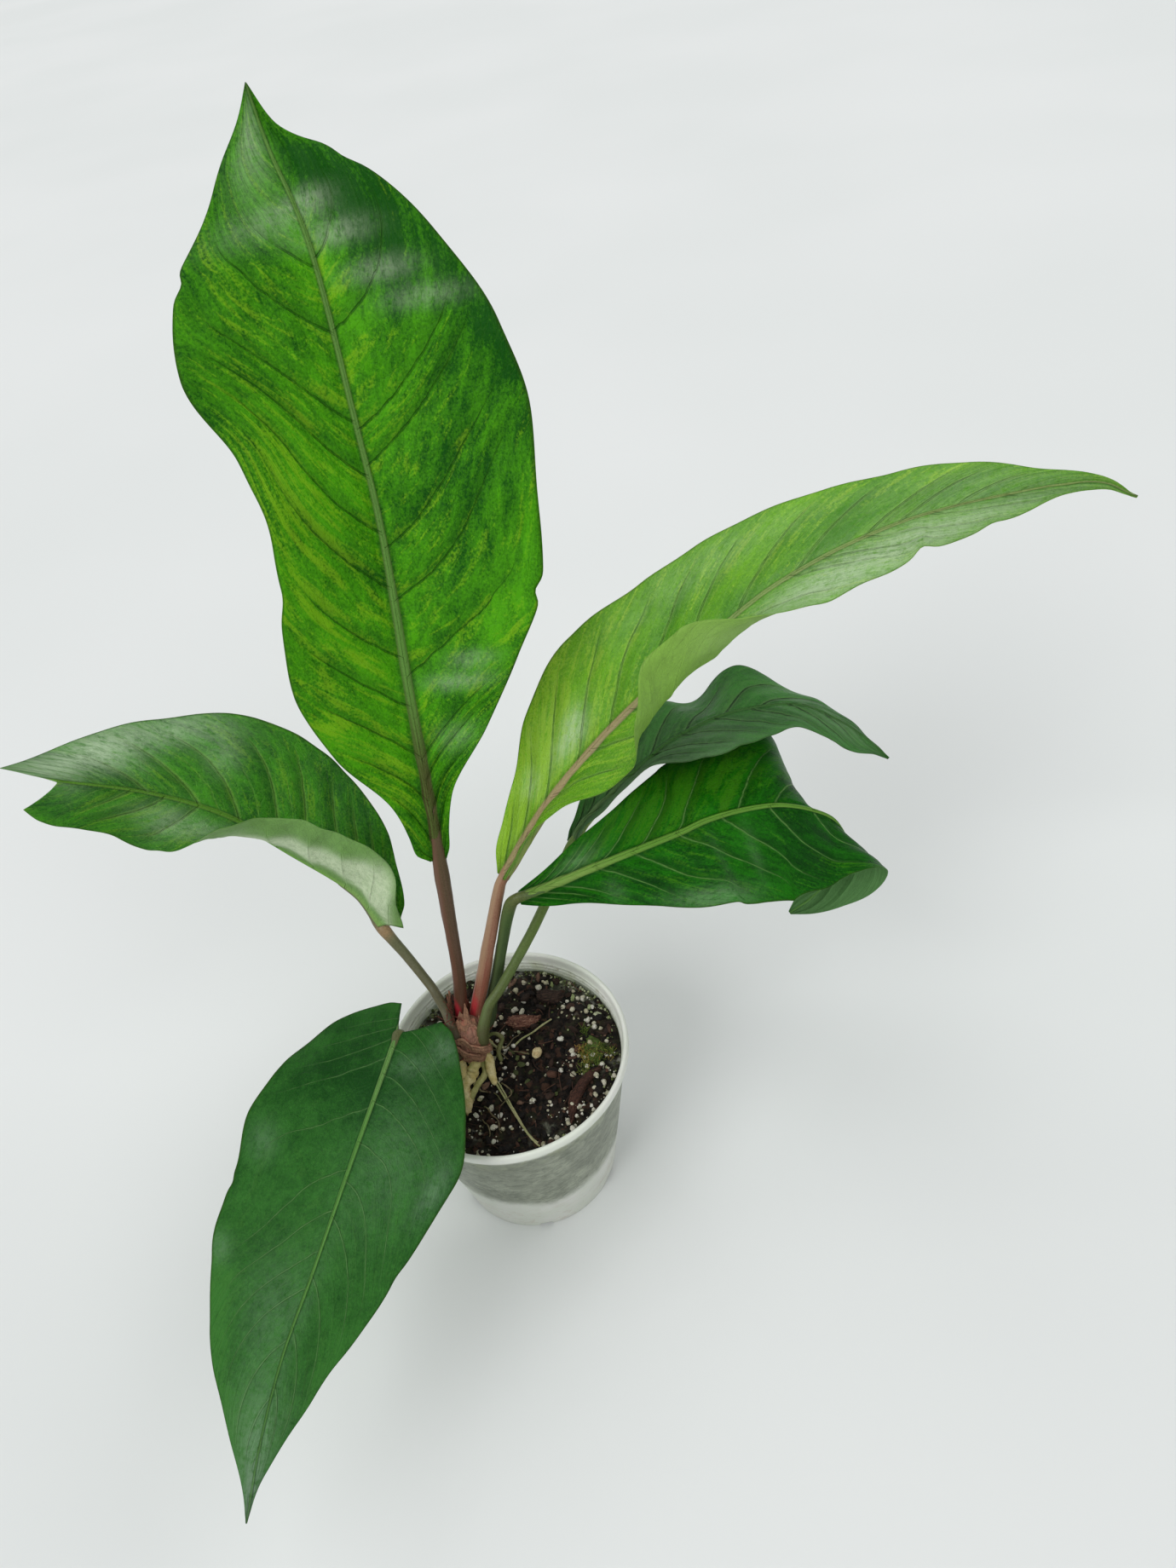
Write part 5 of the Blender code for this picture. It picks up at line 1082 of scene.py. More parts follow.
# a second strand beside the root that runs to the rim
pts = [(x + 0.75 + 0.35 * math.sin(1.4 * k), y + 0.4 * math.cos(1.3 * k), z - 0.05 * k, 0.34) for k, (x, y, z, r) in enumerate(ROOTS["to_rim"][2:7])]
verts, faces, share, angle, along, outward = tube(pts, 120, 12, lambda s, a, m: 1 + 0.12 * np.sin(m * 1.3 + 2 * np.cos(a)))
make("thin_strand", verts, faces, ROOT_SKINS["thin"], (), {"stalk_a": np.stack([share, angle, along], 1)})
# a stunted olive shoot that bends out of the crown's foot
verts, faces, share, angle, along, outward = tube([(-8.0, 2.6, 95.0, 0.8), (-5.0, 3.5, 96.1, 0.8), (-2.7, 3.4, 95.4, 0.85), (-1.0, 2.2, 93.4, 0.9), (-2.4, 0.4, 91.4, 0.95), (-3.6, -1.6, 89.6, 0.95), (-3.4, -3.2, 88.0, 0.95), (-2.8, -4.6, 86.6, 0.7)], 100, 28, lambda s, a, m: 1 + 0.1 * np.sin(m * 1.1) + 0.08 * fbm(np.stack([1.2 * np.cos(a), 1.2 * np.sin(a), m / 2], -1), 3))
make("stunted_shoot", verts, faces, ROOT_SKINS["olive"], (), {"stalk_a": np.stack([share, angle, along * 0.4], 1)})

# ---------------------------------------------------------------- soil
rng = np.random.RandomState(77)
CELL, CELLS = 0.25, 420
lumps = np.zeros((CELLS, CELLS))
grid_line = (np.arange(CELLS) - CELLS / 2 + 0.5) * CELL
for _ in range(1100):
    while True:
        x, y = (rng.rand(2) * 2 - 1) * POT_IN_TOP
        if math.hypot(x, y) < POT_IN_TOP - 0.6:
            break
    r = 0.6 + 1.7 * rng.rand() ** 2
    i = slice(max(int((x - r) / CELL + CELLS / 2), 0), min(int((x + r) / CELL + CELLS / 2) + 2, CELLS))
    j = slice(max(int((y - r) / CELL + CELLS / 2), 0), min(int((y + r) / CELL + CELLS / 2) + 2, CELLS))
    d2 = (grid_line[i][:, None] - x) ** 2 + (grid_line[j][None, :] - y) ** 2
    lumps[i, j] = np.maximum(lumps[i, j], np.sqrt(np.maximum(r * r - d2, 0)) * 0.95)


def ground(x, y):
    """Height of the crumbly surface at points, in mm."""
    x, y = np.asarray(x, float), np.asarray(y, float)
    z = soil_height(x, y) + 0.9 * fbm(np.stack([x / 11, y / 11, 0 * x + 2], -1), 3) + 0.4 * fbm(np.stack([x / 2.2, y / 2.2, 0 * x + 5], -1), 3)
    u = np.clip(x / CELL + CELLS / 2 - 0.5, 0, CELLS - 1.001)
    v = np.clip(y / CELL + CELLS / 2 - 0.5, 0, CELLS - 1.001)
    i, j = u.astype(int), v.astype(int)
    a, b = u - i, v - j
    top = lumps[i, j] * (1 - a) * (1 - b) + lumps[i + 1, j] * a * (1 - b) + lumps[i, j + 1] * (1 - a) * b + lumps[i + 1, j + 1] * a * b
    return z + top - 0.5


rings, spokes = 106, 270
radii = POT_IN_TOP * np.linspace(0, 1, rings + 1)[1:] ** 0.85
angles = np.linspace(0, 2 * np.pi, spokes, endpoint=False)
rr, aa = np.meshgrid(radii, angles, indexing="ij")
jit = 0.25 * fbm(np.stack([rr / 2, aa * 9, 0 * rr], -1), 2) * (rr < POT_IN_TOP - 0.7)
xx, yy = (rr + jit) * np.cos(aa), (rr + jit) * np.sin(aa)
zz = ground(xx, yy)
zz = zz + 1.4 * step(rr, POT_IN_TOP - 5, POT_IN_TOP) * (0.3 + fbm(np.stack([3 * np.cos(aa), 3 * np.sin(aa), 0 * aa + 9], -1), 3))
top = np.stack([xx, yy, zz], -1)
levels = 40
soil_low = FLOOR_Z + FLOOR_T + 0.3
share = np.linspace(0, 1, levels + 1)[1:]
sides = []
for q in share:
    z = zz[-1] * (1 - q) + soil_low * q
    r = outer_r(z) - WALL - 0.3 - 0.25 * (0.5 + 0.5 * fbm(np.stack([9 * np.cos(angles), 9 * np.sin(angles), z / 5], -1), 3)) * (q < 1)
    sides.append(np.stack([r * np.cos(angles), r * np.sin(angles), z], -1))
wall = np.array(sides)
body = np.concatenate([top, wall], 0)
verts = np.vstack([body.reshape(-1, 3), [0, 0, ground(np.zeros(1), np.zeros(1))[0]], [0, 0, soil_low]])
faces = sheet_faces(len(body), spokes, 0, True)
centre, floor_mid = len(verts) - 2, len(verts) - 1
last = (len(body) - 1) * spokes
for j in range(spokes):
    k = (j + 1) % spokes
    faces.append([centre, k, j])
    faces.append([floor_mid, last + j, last + k])

g = Graph("peat_mix")
spot = g.spot()
x, y, z = g.split(spot)
coarse = g.noise(spot, 0.18, 4.0, 0.6)
crumb = g.cells(spot, 0.45, out="Color")
crumb_r, crumb_g, crumb_b = g.split(crumb)
fine = g.noise(spot, 1.4, 5.0, 0.7)
fibre = g.noise(g.scale(spot, (0.3, 2.2, 1.0)), 1.0, 4.0, 0.7, 1.5)
colour = g.mix(g.span(crumb_r, 0.1, 0.9), (0.004, 0.0035, 0.003), (0.02, 0.013, 0.009))
colour = g.mix(g.span(crumb_g, 0.84, 0.94, 0.0, 0.8), colour, (0.07, 0.033, 0.02))
colour = g.mix(g.span(fibre, 0.56, 0.7, 0.0, 0.6), colour, (0.06, 0.038, 0.02))
colour = g.mix(g.span(coarse, 0.52, 0.68, 0.0, 0.5), colour, (0.035, 0.042, 0.014))
colour = g.mix(g.span(fine, 0.6, 0.72, 0.0, 0.6), colour, (0.16, 0.13, 0.08))
colour = g.mix(g.span(fine, 0.46, 0.3, 0.0, 0.8), colour, (0.003, 0.002, 0.002))
# pressed against the wall: grey-green mottling with grains
smear = g.scale(spot, (0.14, 0.14, 0.3))
wet = g.mix(g.span(g.noise(smear, 1.0, 6.0, 0.7, 0.8), 0.4, 0.6), (0.012, 0.014, 0.01), (0.36, 0.38, 0.28))
wet = g.mix(g.span(g.cells(spot, 0.24), 0.36, 0.2, 0.0, 0.8), wet, (0.6, 0.6, 0.52))
wet = g.mix(g.span(g.noise(spot, 0.06, 3.0), 0.46, 0.64, 0.0, 0.6), wet, (0.05, 0.065, 0.03))
wet = g.mix(g.span(z, 28.0, 17.0, 0.0, 0.45), wet, (0.22, 0.23, 0.19))
colour = g.mix(g.mul(g.span(z, 80.2, 77.5), g.span(g.math("POWER", g.add(g.mul(g.add(x, 47.0), g.add(x, 47.0)), g.mul(g.add(y, -18.0), g.add(y, -18.0))), 0.5), 34.0, 35.5)), colour, wet)
g.bump(g.add(g.mul(fine, 0.8), g.mul(fibre, 0.5)), 0.0008, 1.0)
peat = g.finish(colour, g.span(fine, 0.3, 0.7, 0.75, 0.98), Specular_IOR_Level=0.25)
make("soil_mix", verts, faces, peat, ["soil"])

# bark and peat lumps half sunk in the surface
g = Graph("bark_bits")
spot = g.spot()
tone = g.field("tone", False)
fine = g.noise(spot, 1.5, 5.0, 0.7)
layer = g.noise(g.scale(spot, (0.5, 0.5, 2.6)), 1.0, 4.0, 0.6, 0.8)
colour = g.ramp(tone, [(0.0, (0.005, 0.004, 0.0035)), (0.5, (0.014, 0.01, 0.008)), (0.78, (0.045, 0.023, 0.015)), (0.93, (0.1, 0.045, 0.028)), (1.0, (0.2, 0.12, 0.08))])
colour = g.mix(g.span(layer, 0.42, 0.62, 0.0, 0.6), colour, g.mix(0.5, colour, (0.003, 0.002, 0.002)))
colour = g.mix(g.span(fine, 0.56, 0.72, 0.0, 0.55), colour, g.mix(0.35, colour, (0.35, 0.24, 0.15)))
g.bump(g.add(layer, g.mul(fine, 0.7)), 0.0007, 1.0)
bits_skin = g.finish(colour, g.span(fine, 0.3, 0.7, 0.7, 0.95), Specular_IOR_Level=0.3)

crown_clear = [(-15.0, -4.0, 8.0)]
bits = Heap()
for _ in range(620):
    while True:
        x, y = (rng.rand(2) * 2 - 1) * POT_IN_TOP
        if math.hypot(x, y) < POT_IN_TOP - 2.6:
            break
    size = 1.4 + 4.6 * rng.rand() ** 2.6
    v, f = grain(rng, size, 2, 0.22, (1.0, 0.4 + 0.4 * rng.rand(), 0.28 + 0.3 * rng.rand()), 0.95)
    v = turned(rng, v, 0.5)
    z = float(ground(np.array([x]), np.array([y]))[0])
    bits.add(v + (x, y, z + 0.12 * size), f, tone=rng.rand())
for _ in range(90):
    a = rng.rand() * 2 * math.pi
    r = POT_IN_TOP * (0.25 + 0.7 * rng.rand())
    x, y = r * math.cos(a), r * math.sin(a)
    h = rng.rand() * 2 * math.pi
    long = 3 + 7 * rng.rand()
    z = float(soil_height(x, y)) + 1.4
    w = np.linspace(-0.5, 0.5, 4)
    bend = 0.3 * rng.randn()
    pts = [(x + long * q * math.cos(h + bend * q), y + long * q * math.sin(h + bend * q), z + 0.8 * rng.randn() * abs(q) + 0.9, 0.22) for q in w]
    if max(math.hypot(p[0], p[1]) for p in pts) > POT_IN_TOP - 1:
        continue
    v, f, *_ = tube(pts, 9, 5)
    bits.add(v, f, tone=0.6 + 0.35 * rng.rand())
for x, y, size, tint in ((-11.2, -11.8, 5.4, 0.99), (-3.0, 9.5, 4.4, 0.9), (27.0, -6.0, 4.6, 0.86)):
    v, f = grain(rng, size, 3, 0.2, (1.0, 0.72, 0.24), 0.9)
    bits.add(turned(rng, v, 0.25) + (x, y, float(soil_height(x, y)) + 1.5), f, tone=tint)
bits.make("soil_bits", bits_skin, "bark")

# perlite
g = Graph("perlite_grain")
spot = g.spot()
tone = g.field("tone", False)
fine = g.noise(spot, 2.2, 4.0, 0.65)
pits = g.cells(spot, 2.6)
stain = g.noise(spot, 0.5, 3.0, 0.6)
colour = g.mix(tone, (0.84, 0.82, 0.72), (0.52, 0.47, 0.27))
colour = g.mix(g.span(pits, 0.35, 0.1, 0.0, 0.35), colour, (0.4, 0.36, 0.28))
colour = g.mix(g.span(stain, 0.5, 0.66, 0.0, 0.7), colour, (0.26, 0.25, 0.14))
g.bump(g.add(g.mul(pits, 0.9), g.mul(fine, 0.6)), 0.0005, 1.0)
perlite_skin = g.finish(colour, 0.85, Specular_IOR_Level=0.3)

PERLITE = [(16.0, 34.0, 3.4), (-30.0, 24.0, 3.2), (36.0, 12.0, 3.0), (-5.0, 30.0, 3.0), (8.0, -24.0, 3.0), (23.0, 4.0, 3.2), (-31.0, -14.0, 3.2), (-9.0, -33.0, 3.0)]
grains = Heap()
for x, y, size in PERLITE:
    v, f = grain(rng, size, 3, 0.3, (1, 0.88, 0.8), 0.5)
    grains.add(turned(rng, v) + (x, y, float(soil_height(x, y)) + 0.56 * size + 0.3), f, tone=0.4 * rng.rand())
for x, y, size, tint in ((5.5, 35.6, 3.6, 0.75), (9.6, 38.7, 3.0, 0.60), (7.3, 22.2, 3.2, 0.40), (4.0, 24.5, 3.4, 0.30), (-5.1, 17.4, 2.8, 0.45), (-2.3, 20.5, 2.6, 0.80), (-16.5, -25.1, 3.0, 0.20)):
    v, f = grain(rng, size, 3, 0.32, (1, 0.8, 0.72), 0.5)
    grains.add(turned(rng, v) + (x, y, float(ground(np.array([x]), np.array([y]))[0]) + 0.3 * size), f, tone=tint)
for _ in range(560):
    while True:
        x, y = (rng.rand(2) * 2 - 1) * POT_IN_TOP
        crowd = 0.34 + 1.7 * float(fbm(np.array([[0.1 * x, 0.1 * y, 7.7]]), 3)[0])
        if math.hypot(x, y) < POT_IN_TOP - 1.5 and rng.rand() < crowd:
            break
    size = 0.6 + 2.5 * rng.rand() ** 2.6
    v, f = grain(rng, size, 2, 0.3, (1, 0.85, 0.75), 0.5)
    z = float(ground(np.array([x]), np.array([y]))[0])
    grains.add(turned(rng, v) + (x, y, z + 0.24 * size), f, tone=rng.rand() ** 1.3)
grains.make("perlite_grains", perlite_skin, "perlite", ["perlite_%d" % k for k in range(1, 9)])


# larger bark chips
def chip(name, place, seed, curve, skin):
    x, y, length, width, height, turn = place
    verts, faces = BALLS[5]
    v = np.sign(verts) * abs(verts) ** 0.55
    v = v / abs(v).max(0)
    ends = 1 + 0.16 * fbm(np.stack([verts[:, 1] * 4, verts[:, 2] * 3, np.sign(verts[:, 0]) * 3 + seed], -1), 3)
    v[:, 0] *= ends
    narrow = 1 - 0.25 * abs(v[:, 0]) ** 2 + 0.14 * noise3(np.stack([v[:, 0] * 2.5, 0 * v[:, 0] + seed, 0 * v[:, 0]], -1))
    v[:, 1] *= narrow
    v[:, 2] *= narrow
    ridges = 0.16 * noise3(np.stack([v[:, 0] * 1.2 + seed, v[:, 1] * 7, v[:, 2] * 5], -1)) + 0.07 * fbm(v * np.array([3.0, 9.0, 8.0]) + seed, 3)
    v = v * (1 + ridges)[:, None] * np.array([length, width, height]) / 2
    v[:, 1] += curve * ((v[:, 0] / (length / 2)) ** 2 - 0.4)
    v[:, 2] += 0.25 * curve * ((v[:, 0] / (length / 2)) ** 2 - 0.4)
    a = math.radians(turn)
    v = np.stack([v[:, 0] * math.cos(a) - v[:, 1] * math.sin(a), v[:, 0] * math.sin(a) + v[:, 1] * math.cos(a), v[:, 2]], 1)
    z = float(soil_height(x, y)) + 0.45 * height + 0.5
    make(name + "_chip", v + (x, y, z), faces, skin, [name])


def bark_material(name, pale, mid, deep):
    g = Graph(name)
    spot = g.spot()
    layer = g.noise(g.scale(spot, (0.35, 0.8, 2.2)), 1.0, 5.0, 0.65, 1.2)
    fine = g.noise(spot, 1.6, 5.0, 0.7)
    colour = g.ramp(layer, [(0.3, deep), (0.48, mid), (0.68, pale)])
    colour = g.mix(g.span(fine, 0.5, 0.7, 0.0, 0.55), colour, deep)
    g.bump(g.add(layer, g.mul(fine, 0.6)), 0.0008, 1.0)
    return g.finish(colour, g.span(fine, 0.3, 0.7, 0.65, 0.95), Specular_IOR_Level=0.3)


CHIPS = {"bark_red": (7.4, 16.6, 13.5, 6.0, 3.4, -6.0), "bark_curved": (28.6, -23.6, 25.0, 4.2, 3.2, 58.0), "bark_dark": (20.5, 28.5, 11.0, 6.0, 3.0, -20.0)}
chip("bark_red", CHIPS["bark_red"], 3, 0.8, bark_material("bark_reddish", (0.4, 0.23, 0.15), (0.16, 0.06, 0.04), (0.03, 0.012, 0.009)))
chip("bark_curved", CHIPS["bark_curved"], 5, -2.6, bark_material("bark_tan", (0.12, 0.05, 0.032), (0.055, 0.022, 0.014), (0.018, 0.008, 0.006)))
chip("bark_dark", CHIPS["bark_dark"], 8, 0.6, bark_material("bark_blackish", (0.09, 0.05, 0.034), (0.035, 0.02, 0.014), (0.009, 0.006, 0.005)))

# the pale pebble-like lump
x, y, length, width, height, turn = (12.2, -1.6, 5.2, 4.0, 3.6, 70.0)
verts, faces = BALLS[4]
v = verts * (1 + 0.16 * fbm(verts * 1.6 + 4, 4) + 0.05 * noise3(verts * 6))[:, None] * np.array([length, width, height]) / 2
a = math.radians(turn)
v = np.stack([v[:, 0] * math.cos(a) - v[:, 1] * math.sin(a), v[:, 0] * math.sin(a) + v[:, 1] * math.cos(a), v[:, 2]], 1)
g = Graph("pale_lump")
spot = g.spot()
fine = g.noise(spot, 1.6, 4.0, 0.65)
colour = g.mix(g.span(g.noise(spot, 0.5, 3.0), 0.35, 0.65), (0.72, 0.62, 0.36), (0.58, 0.44, 0.22))
colour = g.mix(g.span(fine, 0.55, 0.7, 0.0, 0.5), colour, (0.3, 0.2, 0.1))
g.bump(g.add(fine, g.mul(g.cells(spot, 1.8), -0.5)), 0.0005, 1.0)
make("pale_lump", v + (x, y, float(soil_height(x, y)) + 0.66 * height + 0.5), faces, g.finish(colour, 0.7, Specular_IOR_Level=0.35), ["pebble"])

# moss: short curved strands over a low mound
g = Graph("moss_green")
tone = g.field("tone", False)
spot = g.spot()
colour = g.ramp(tone, [(0.0, (0.05, 0.09, 0.015)), (0.4, (0.16, 0.24, 0.035)), (0.7, (0.38, 0.36, 0.08)), (0.95, (0.5, 0.3, 0.08))])
colour = g.mix(g.span(g.noise(spot, 1.5, 3.0), 0.4, 0.65, 0.0, 0.5), colour, (0.05, 0.06, 0.015))
g.bump(g.noise(spot, 3.0, 3.0), 0.0003, 1.0)
moss_skin = g.finish(colour, 0.85, Specular_IOR_Level=0.3)
rng = np.random.RandomState(31)
moss = Heap()
mx, my = 36.5, -3.0
v, f = BALLS[4]
v = v * (1 + 0.3 * fbm(v * 2.2 + 8, 4))[:, None] * np.array([3.6, 6.0, 1.3])
moss.add(v + (mx, my, float(soil_height(mx, my)) + 1.0), f, tone=0.08)
clumps = [(mx + 3.4 * rng.randn(), my + 5.0 * rng.randn(), 1.2 + 2.2 * rng.rand(), rng.rand()) for _ in range(16)]
for _ in range(900):
    cx, cy, wide, hue = clumps[rng.randint(len(clumps))]
    x, y = cx + wide * 0.6 * rng.randn(), cy + wide * 0.6 * rng.randn()
    if math.hypot(x, y) > POT_IN_TOP - 1.2:
        continue
    z = float(ground(np.array([x]), np.array([y]))[0]) + 0.3
    lean = np.array([0.7 * rng.randn(), 0.7 * rng.randn(), 1.0])
    lean /= np.linalg.norm(lean)
    long = 1.0 + 1.9 * rng.rand()
    bend = 0.5 * rng.randn(3)
    pts = [(*(np.array([x, y, z]) + lean * long * w + bend * long * w * w * 0.5), 0.17 * (1 - 0.5 * w)) for w in (0, 0.5, 1)]
    vv, ff, *_ = tube(pts, 4, 4)
    moss.add(vv, ff, tone=float(np.clip(hue + 0.15 * rng.randn(), 0, 1)))
moss.make("moss_strands", moss_skin, "moss", ["moss_tuft"])

# green and cream specks where the soil meets the wall, thickest at the back and right
g = Graph("algae_green")
tone = g.field("tone", False)
spot = g.spot()
colour = g.ramp(tone, [(0.0, (0.03, 0.036, 0.014)), (0.45, (0.12, 0.15, 0.045)), (0.75, (0.34, 0.4, 0.18)), (1.0, (0.6, 0.62, 0.42))])
colour = g.mix(g.span(g.noise(spot, 1.4, 4.0, 0.65), 0.4, 0.65, 0.0, 0.6), colour, (0.04, 0.05, 0.016))
g.bump(g.noise(spot, 2.5, 4.0, 0.6), 0.0004, 1.0)
algae_skin = g.finish(colour, 0.8, Specular_IOR_Level=0.3)
specks = Heap()
for _ in range(520):
    a = math.radians(70 + 75 * rng.randn())
    r = POT_IN_TOP - 0.7 - 3.2 * rng.rand() ** 2
    if rng.rand() < 0.2:
        r = POT_IN_TOP * rng.rand() ** 0.5 * 0.95
    x, y = r * math.cos(a), r * math.sin(a)
    size = 0.6 + 1.5 * rng.rand() ** 2
    v, f = grain(rng, size, 1, 0.3, (1, 0.9, 0.7), 0.4)
    z = float(ground(np.array([x]), np.array([y]))[0])
    specks.add(turned(rng, v) + (x, y, z + 0.3 * size), f, tone=rng.rand())
for x, y, size, tint in ((1.0, 2.0, 3.2, 0.2), (4.9, -5.8, 4.0, 0.16), (2.4, -9.4, 3.6, 0.12), (6.5, -13.8, 3.4, 0.18), (3.4, -1.8, 3.0, 0.3), (8.4, -9.0, 2.6, 0.1), (31.5, -14.0, 3.6, 0.26), (-1.0, -16.5, 2.6, 0.14), (40.8, 13.9, 4.2, 0.95), (37.6, 19.0, 3.0, 0.8), (30.6, 27.0, 3.4, 0.7), (22.0, 36.0, 3.0, 0.6)):
    v, f = grain(rng, size, 3, 0.35, (1, 0.62, 0.42), 0.6)
    specks.add(turned(rng, v, 0.4) + (x, y, float(ground(np.array([x]), np.array([y]))[0]) + 0.22 * size), f, tone=tint)
specks.make("algae_specks", algae_skin, "moss")

# ---------------------------------------------------------------- pot
steps = 216
lip_under = POT_H - LIP_H
inner = [(0, FLOOR_Z + FLOOR_T)]
inner += [(r, FLOOR_Z + FLOOR_T) for r in (8, 16, 24, 32)]
inner += [(outer_r(13.3) - WALL - 0.6, 13.3), (outer_r(13.6) - WALL - 0.1, 13.8)]
for z in np.linspace(15, 80, 40):
    inner.append((outer_r(z) - WALL, z))
for z, bulge in ((80.6, 0.0), (81.0, 0.3), (81.4, 0.0), (82.4, 0.0), (82.8, 0.3), (83.2, 0.0), (84.2, 0.0), (84.6, 0.25), (85.0, 0.0)):
    inner.append((outer_r(z) - WALL - bulge, z))
inner += [(RIM_R - 2.5, 86.6), (RIM_R - 2.3, 88.0), (RIM_R - 2.0, 88.6), (RIM_R - 1.5, 88.93), (RIM_R - 1.0, POT_H)]
outside = [(RIM_R - 0.5, 88.85), (RIM_R - 0.15, 88.4), (RIM_R, 87.8), (RIM_R, 86.4), (RIM_R, 85.4), (RIM_R - 0.2, 85.0), (RIM_R - 0.7, 84.8), (RIM_R - 1.3, 84.75), (UNDER_LIP_R, 84.3)]
for z in np.linspace(83.5, 1.2, 46):
    outside.append((outer_r(z), z))
outside += [(FOOT_R, 0.5), (FOOT_R - 0.3, 0.1), (FOOT_R - 0.6, 0.0)]
foot = [(FOOT_R - FOOT_W + 0.4, 0.0), (FOOT_R - FOOT_W, 0.3)]
for z in np.linspace(1.0, 11.2, 12):
    foot.append((outer_r(z) - WALL - 0.9 * (1 - z / 12) ** 2, z))
foot += [(outer_r(FLOOR_Z) - WALL - 0.5, FLOOR_Z)] + [(r, FLOOR_Z) for r in (32, 24, 16, 8)] + [(0, FLOOR_Z)]
profile = inner + outside + foot
angles = np.linspace(0, 2 * np.pi, steps, endpoint=False)
rows = np.array([[r, z] for r, z in profile[1:-1]])
notch = np.zeros(steps)
for k in range(6):
    d = (angles - math.radians(60 * (k + 0.5)) + math.pi) % (2 * math.pi) - math.pi
    notch = np.maximum(notch, step(abs(d) * FOOT_R, 3.2, 2.8))
zz = np.repeat(rows[:, 1][:, None], steps, 1)
zz = np.maximum(zz, 2.4 * notch[None, :] * (zz < 2.5))
wave = 0.12 * fbm(np.stack([1.2 * np.cos(angles), 1.2 * np.sin(angles), 0 * angles], -1), 3)
rr = rows[:, 0][:, None] + wave[None, :] * (rows[:, 0][:, None] > 34) * step(rows[:, 1], 0, 60)[:, None]
verts = np.stack([rr * np.cos(angles), rr * np.sin(angles), zz], -1).reshape(-1, 3)
verts = np.vstack([verts, [0, 0, profile[0][1]], [0, 0, profile[-1][1]]])
faces = sheet_faces(len(rows), steps, 0, True)
n = len(rows) * steps
for j in range(steps):
    k = (j + 1) % steps
    faces.append([n, k, j])
    faces.append([n + 1, (len(rows) - 1) * steps + j, (len(rows) - 1) * steps + k])

g = Graph("frosted_wall")
spot = g.spot()
x, y, z = g.split(spot)
scuff = g.noise(g.scale(spot, (0.25, 0.25, 1.1)), 1.0, 5.0, 0.7)
fine = g.noise(spot, 1.1, 4.0, 0.6)
algae = g.noise(spot, 0.09, 4.0, 0.65, 0.8)
haze = g.noise(spot, 0.05, 3.0, 0.55)
smear = g.noise(g.scale(spot, (0.12, 0.12, 0.24)), 1.0, 6.0, 0.66, 1.0)
crumbs = g.noise(g.scale(spot, (0.45, 0.45, 0.8)), 1.0, 4.0, 0.7)
clean = g.mix(g.span(haze, 0.35, 0.65), (0.88, 0.92, 0.82), (0.95, 0.96, 0.9))
# the wall takes up the grey-green of the soil pressed against it above a wavy line; the foot and the lip stay clear,
# and so does the band just above the foot where soil still lies behind the wall, which is painted light, as if lit
# through from the floor below
edge = g.add(g.add(g.mul(g.noise(g.scale(spot, (0.035, 0.035, 0.01)), 1.0, 3.0, 0.5), 22.0), 18.0), g.mul(crumbs, 3.0))
filled = g.mul(g.span(g.add(z, g.mul(edge, -1.0)), -5.0, 5.0), g.span(z, 82.6, 79.0))
film = g.add(g.mul(g.add(smear, -0.5), 2.6), g.add(g.mul(g.add(crumbs, -0.5), 1.7), g.mul(g.add(algae, -0.5), 1.6)))
soiled = g.mix(g.span(film, -0.75, 0.75), (0.24, 0.275, 0.2), (0.68, 0.73, 0.58))
soiled = g.mix(g.span(g.noise(spot, 0.035, 3.0, 0.5), 0.42, 0.6, 0.0, 0.35), soiled, (0.2, 0.225, 0.165))
colour = g.mix(filled, clean, soiled)
colour = g.mix(g.mul(g.span(algae, 0.46, 0.66), g.mul(g.span(z, 70.0, 80.0), g.span(z, 87.0, 83.0, 0.0, 0.4))), colour, (0.5, 0.56, 0.3))
colour = g.mix(g.mul(g.span(g.noise(spot, 0.4, 4.0, 0.7), 0.5, 0.68), g.mul(g.span(z, 79.0, 82.0), g.span(z, 86.0, 83.5, 0.0, 0.5))), colour, (0.36, 0.34, 0.18))
colour = g.mix(g.mul(g.span(z, 27.0, 12.0, 0.0, 0.4), g.span(smear, 0.5, 0.66)), colour, (0.62, 0.52, 0.42))
colour = g.mix(g.span(scuff, 0.6, 0.74, 0.0, 0.35), colour, (0.95, 0.96, 0.95))
g.bump(g.add(g.mul(scuff, 0.5), g.mul(fine, 0.25)), 0.0003, 0.6)
through = g.add(g.add(g.mul(filled, 0.2), 0.3), g.span(z, 82.0, 86.0, 0.0, -0.16))
plastic = g.finish(colour, g.span(scuff, 0.3, 0.75, 0.28, 0.46), Transmission_Weight=through, IOR=1.3, Specular_IOR_Level=0.5)
pot = make("nursery_pot", verts, faces, plastic, (), None, 50)
# drain holes through the raised floor
bm = bmesh.new()
for k in range(5):
    turn = 2 * math.pi * k / 5
    hole = bmesh.ops.create_cone(bm, cap_ends=True, segments=40, radius1=0.0035, radius2=0.0035, depth=0.004)["verts"]
    for v in hole:
        v.co += Vector(((AT[0] + 21 * math.cos(turn)) * MM, (AT[1] + 21 * math.sin(turn)) * MM, (FLOOR_Z + 0.6) * MM))
mesh = bpy.data.meshes.new("hole_cutter")
bm.to_mesh(mesh)
bm.free()
cutter = bpy.data.objects.new("hole_cutter", mesh)
bpy.context.scene.collection.objects.link(cutter)
mod = pot.modifiers.new("holes", "BOOLEAN")
mod.operation, mod.solver, mod.object = "DIFFERENCE", "EXACT", cutter
bpy.context.view_layer.update()
cut_mesh = bpy.data.meshes.new_from_object(pot.evaluated_get(bpy.context.evaluated_depsgraph_get()))
pot.modifiers.clear()
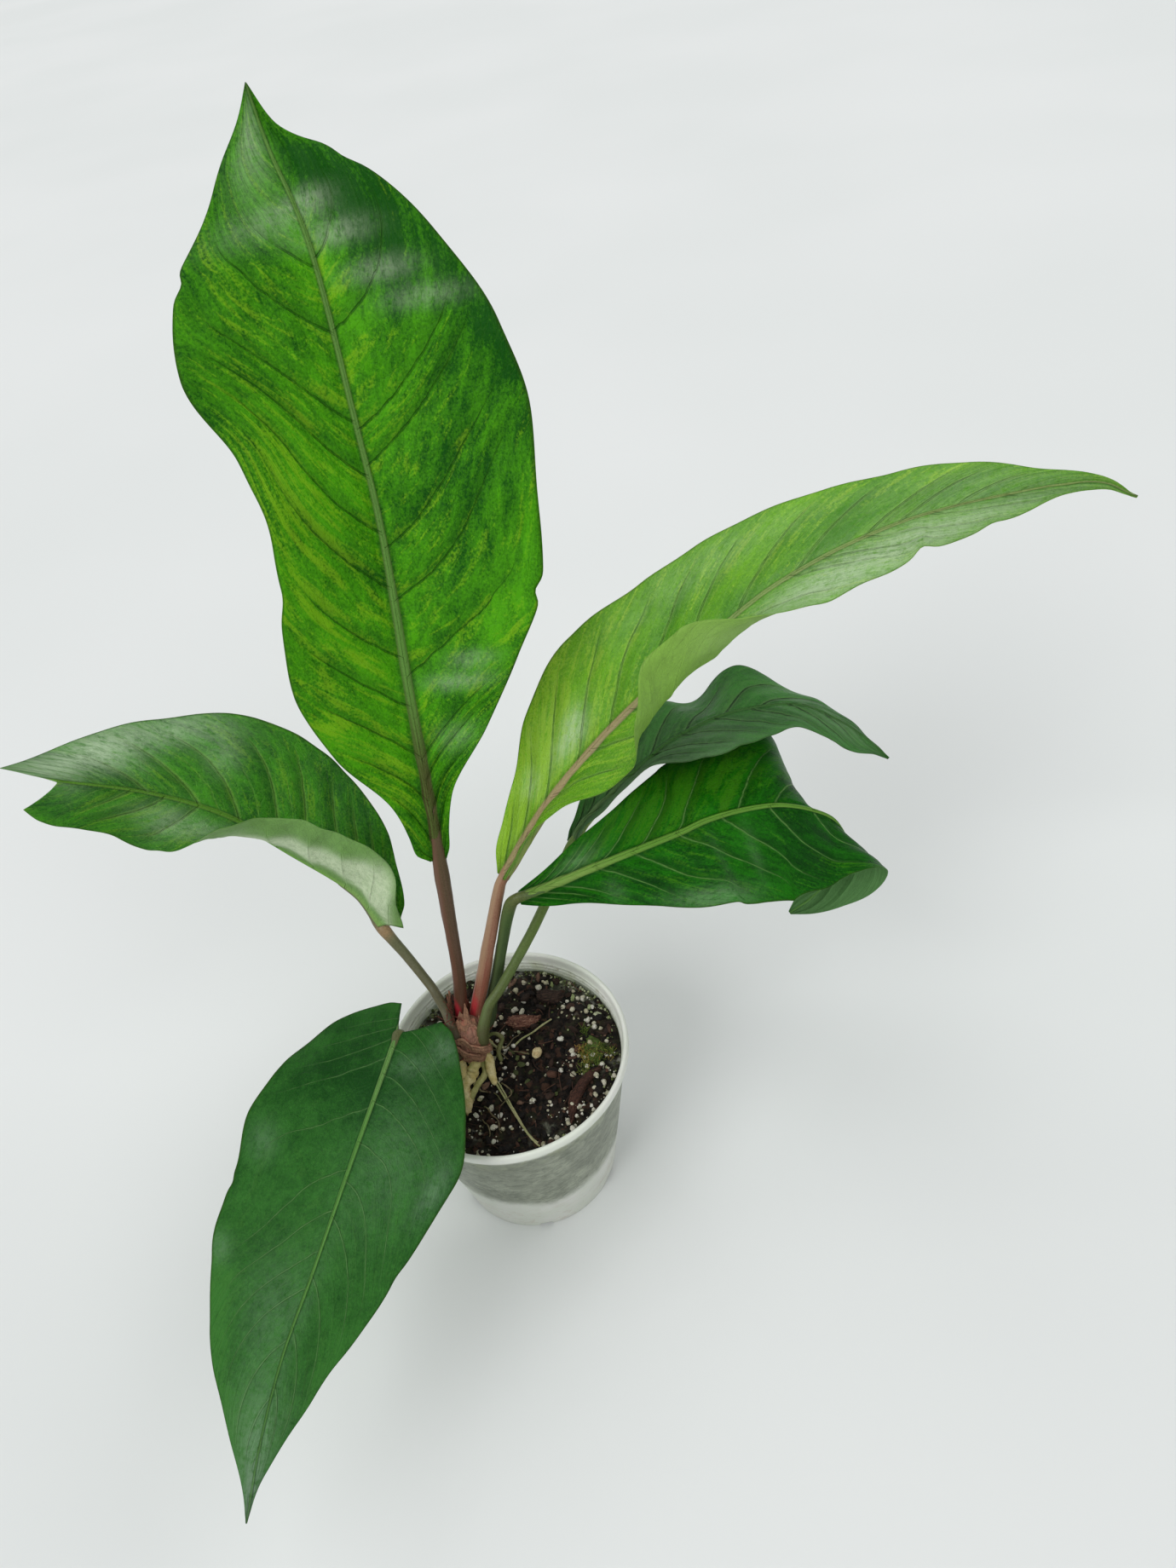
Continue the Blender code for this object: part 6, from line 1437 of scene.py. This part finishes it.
pot.data = cut_mesh
pot.data.shade_smooth()
pot.data.set_sharp_from_angle(angle=math.radians(50))
bpy.data.objects.remove(cutter, do_unlink=True)
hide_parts("pot")

# ---------------------------------------------------------------- floor and light
mesh = bpy.data.meshes.new("floor")
mesh.from_pydata([(-60, -60, 0), (60, -60, 0), (60, 60, 0), (-60, 60, 0)], [], [(0, 1, 2, 3)])
floor = bpy.data.objects.new("floor", mesh)
bpy.context.scene.collection.objects.link(floor)
floor.location.z = -0.0002
g = Graph("pale_floor")
spot = g.node("ShaderNodeTexCoord").outputs["Object"]
colour = g.mix(g.span(g.noise(spot, 2.0, 2.0), 0.3, 0.7), (0.795, 0.82, 0.81), (0.825, 0.845, 0.838))
mesh.materials.append(g.finish(colour, 0.85, Specular_IOR_Level=0.1))

world = bpy.data.worlds.new("pale")
bpy.context.scene.world = world
world.use_nodes = True
world.node_tree.nodes["Background"].inputs[0].default_value = (0.97, 0.99, 1.0, 1)
world.node_tree.nodes["Background"].inputs[1].default_value = 0.3


def soft_sun(name, azimuth, elevation, strength, wide, colour=(1, 1, 1)):
    """Broad light from a direction: azimuth 0 is the camera's side, 90 the right."""
    data = bpy.data.lights.new(name, "SUN")
    data.energy, data.angle, data.color = strength, math.radians(wide), colour
    light = bpy.data.objects.new(name, data)
    bpy.context.scene.collection.objects.link(light)
    a, e = math.radians(azimuth), math.radians(elevation)
    toward = Vector((math.sin(a) * math.cos(e), -math.cos(a) * math.cos(e), math.sin(e)))
    light.rotation_euler = toward.to_track_quat("Z", "Y").to_euler()
    light.location = toward * 3


soft_sun("key", -45, 42, 1.15, 32)
soft_sun("front_fill", 38, 47, 0.45, 32)
soft_sun("right_fill", 108, 42, 0.35, 32)
soft_sun("top", -100, 76, 0.5, 40)
soft_sun("rear_left", -142, 50, 0.35, 34)

bpy.context.scene.view_settings.view_transform = "Standard"
bpy.context.scene.view_settings.look = "None"
bpy.context.scene.view_settings.exposure = 0.0
bpy.context.scene.view_settings.gamma = 1.0
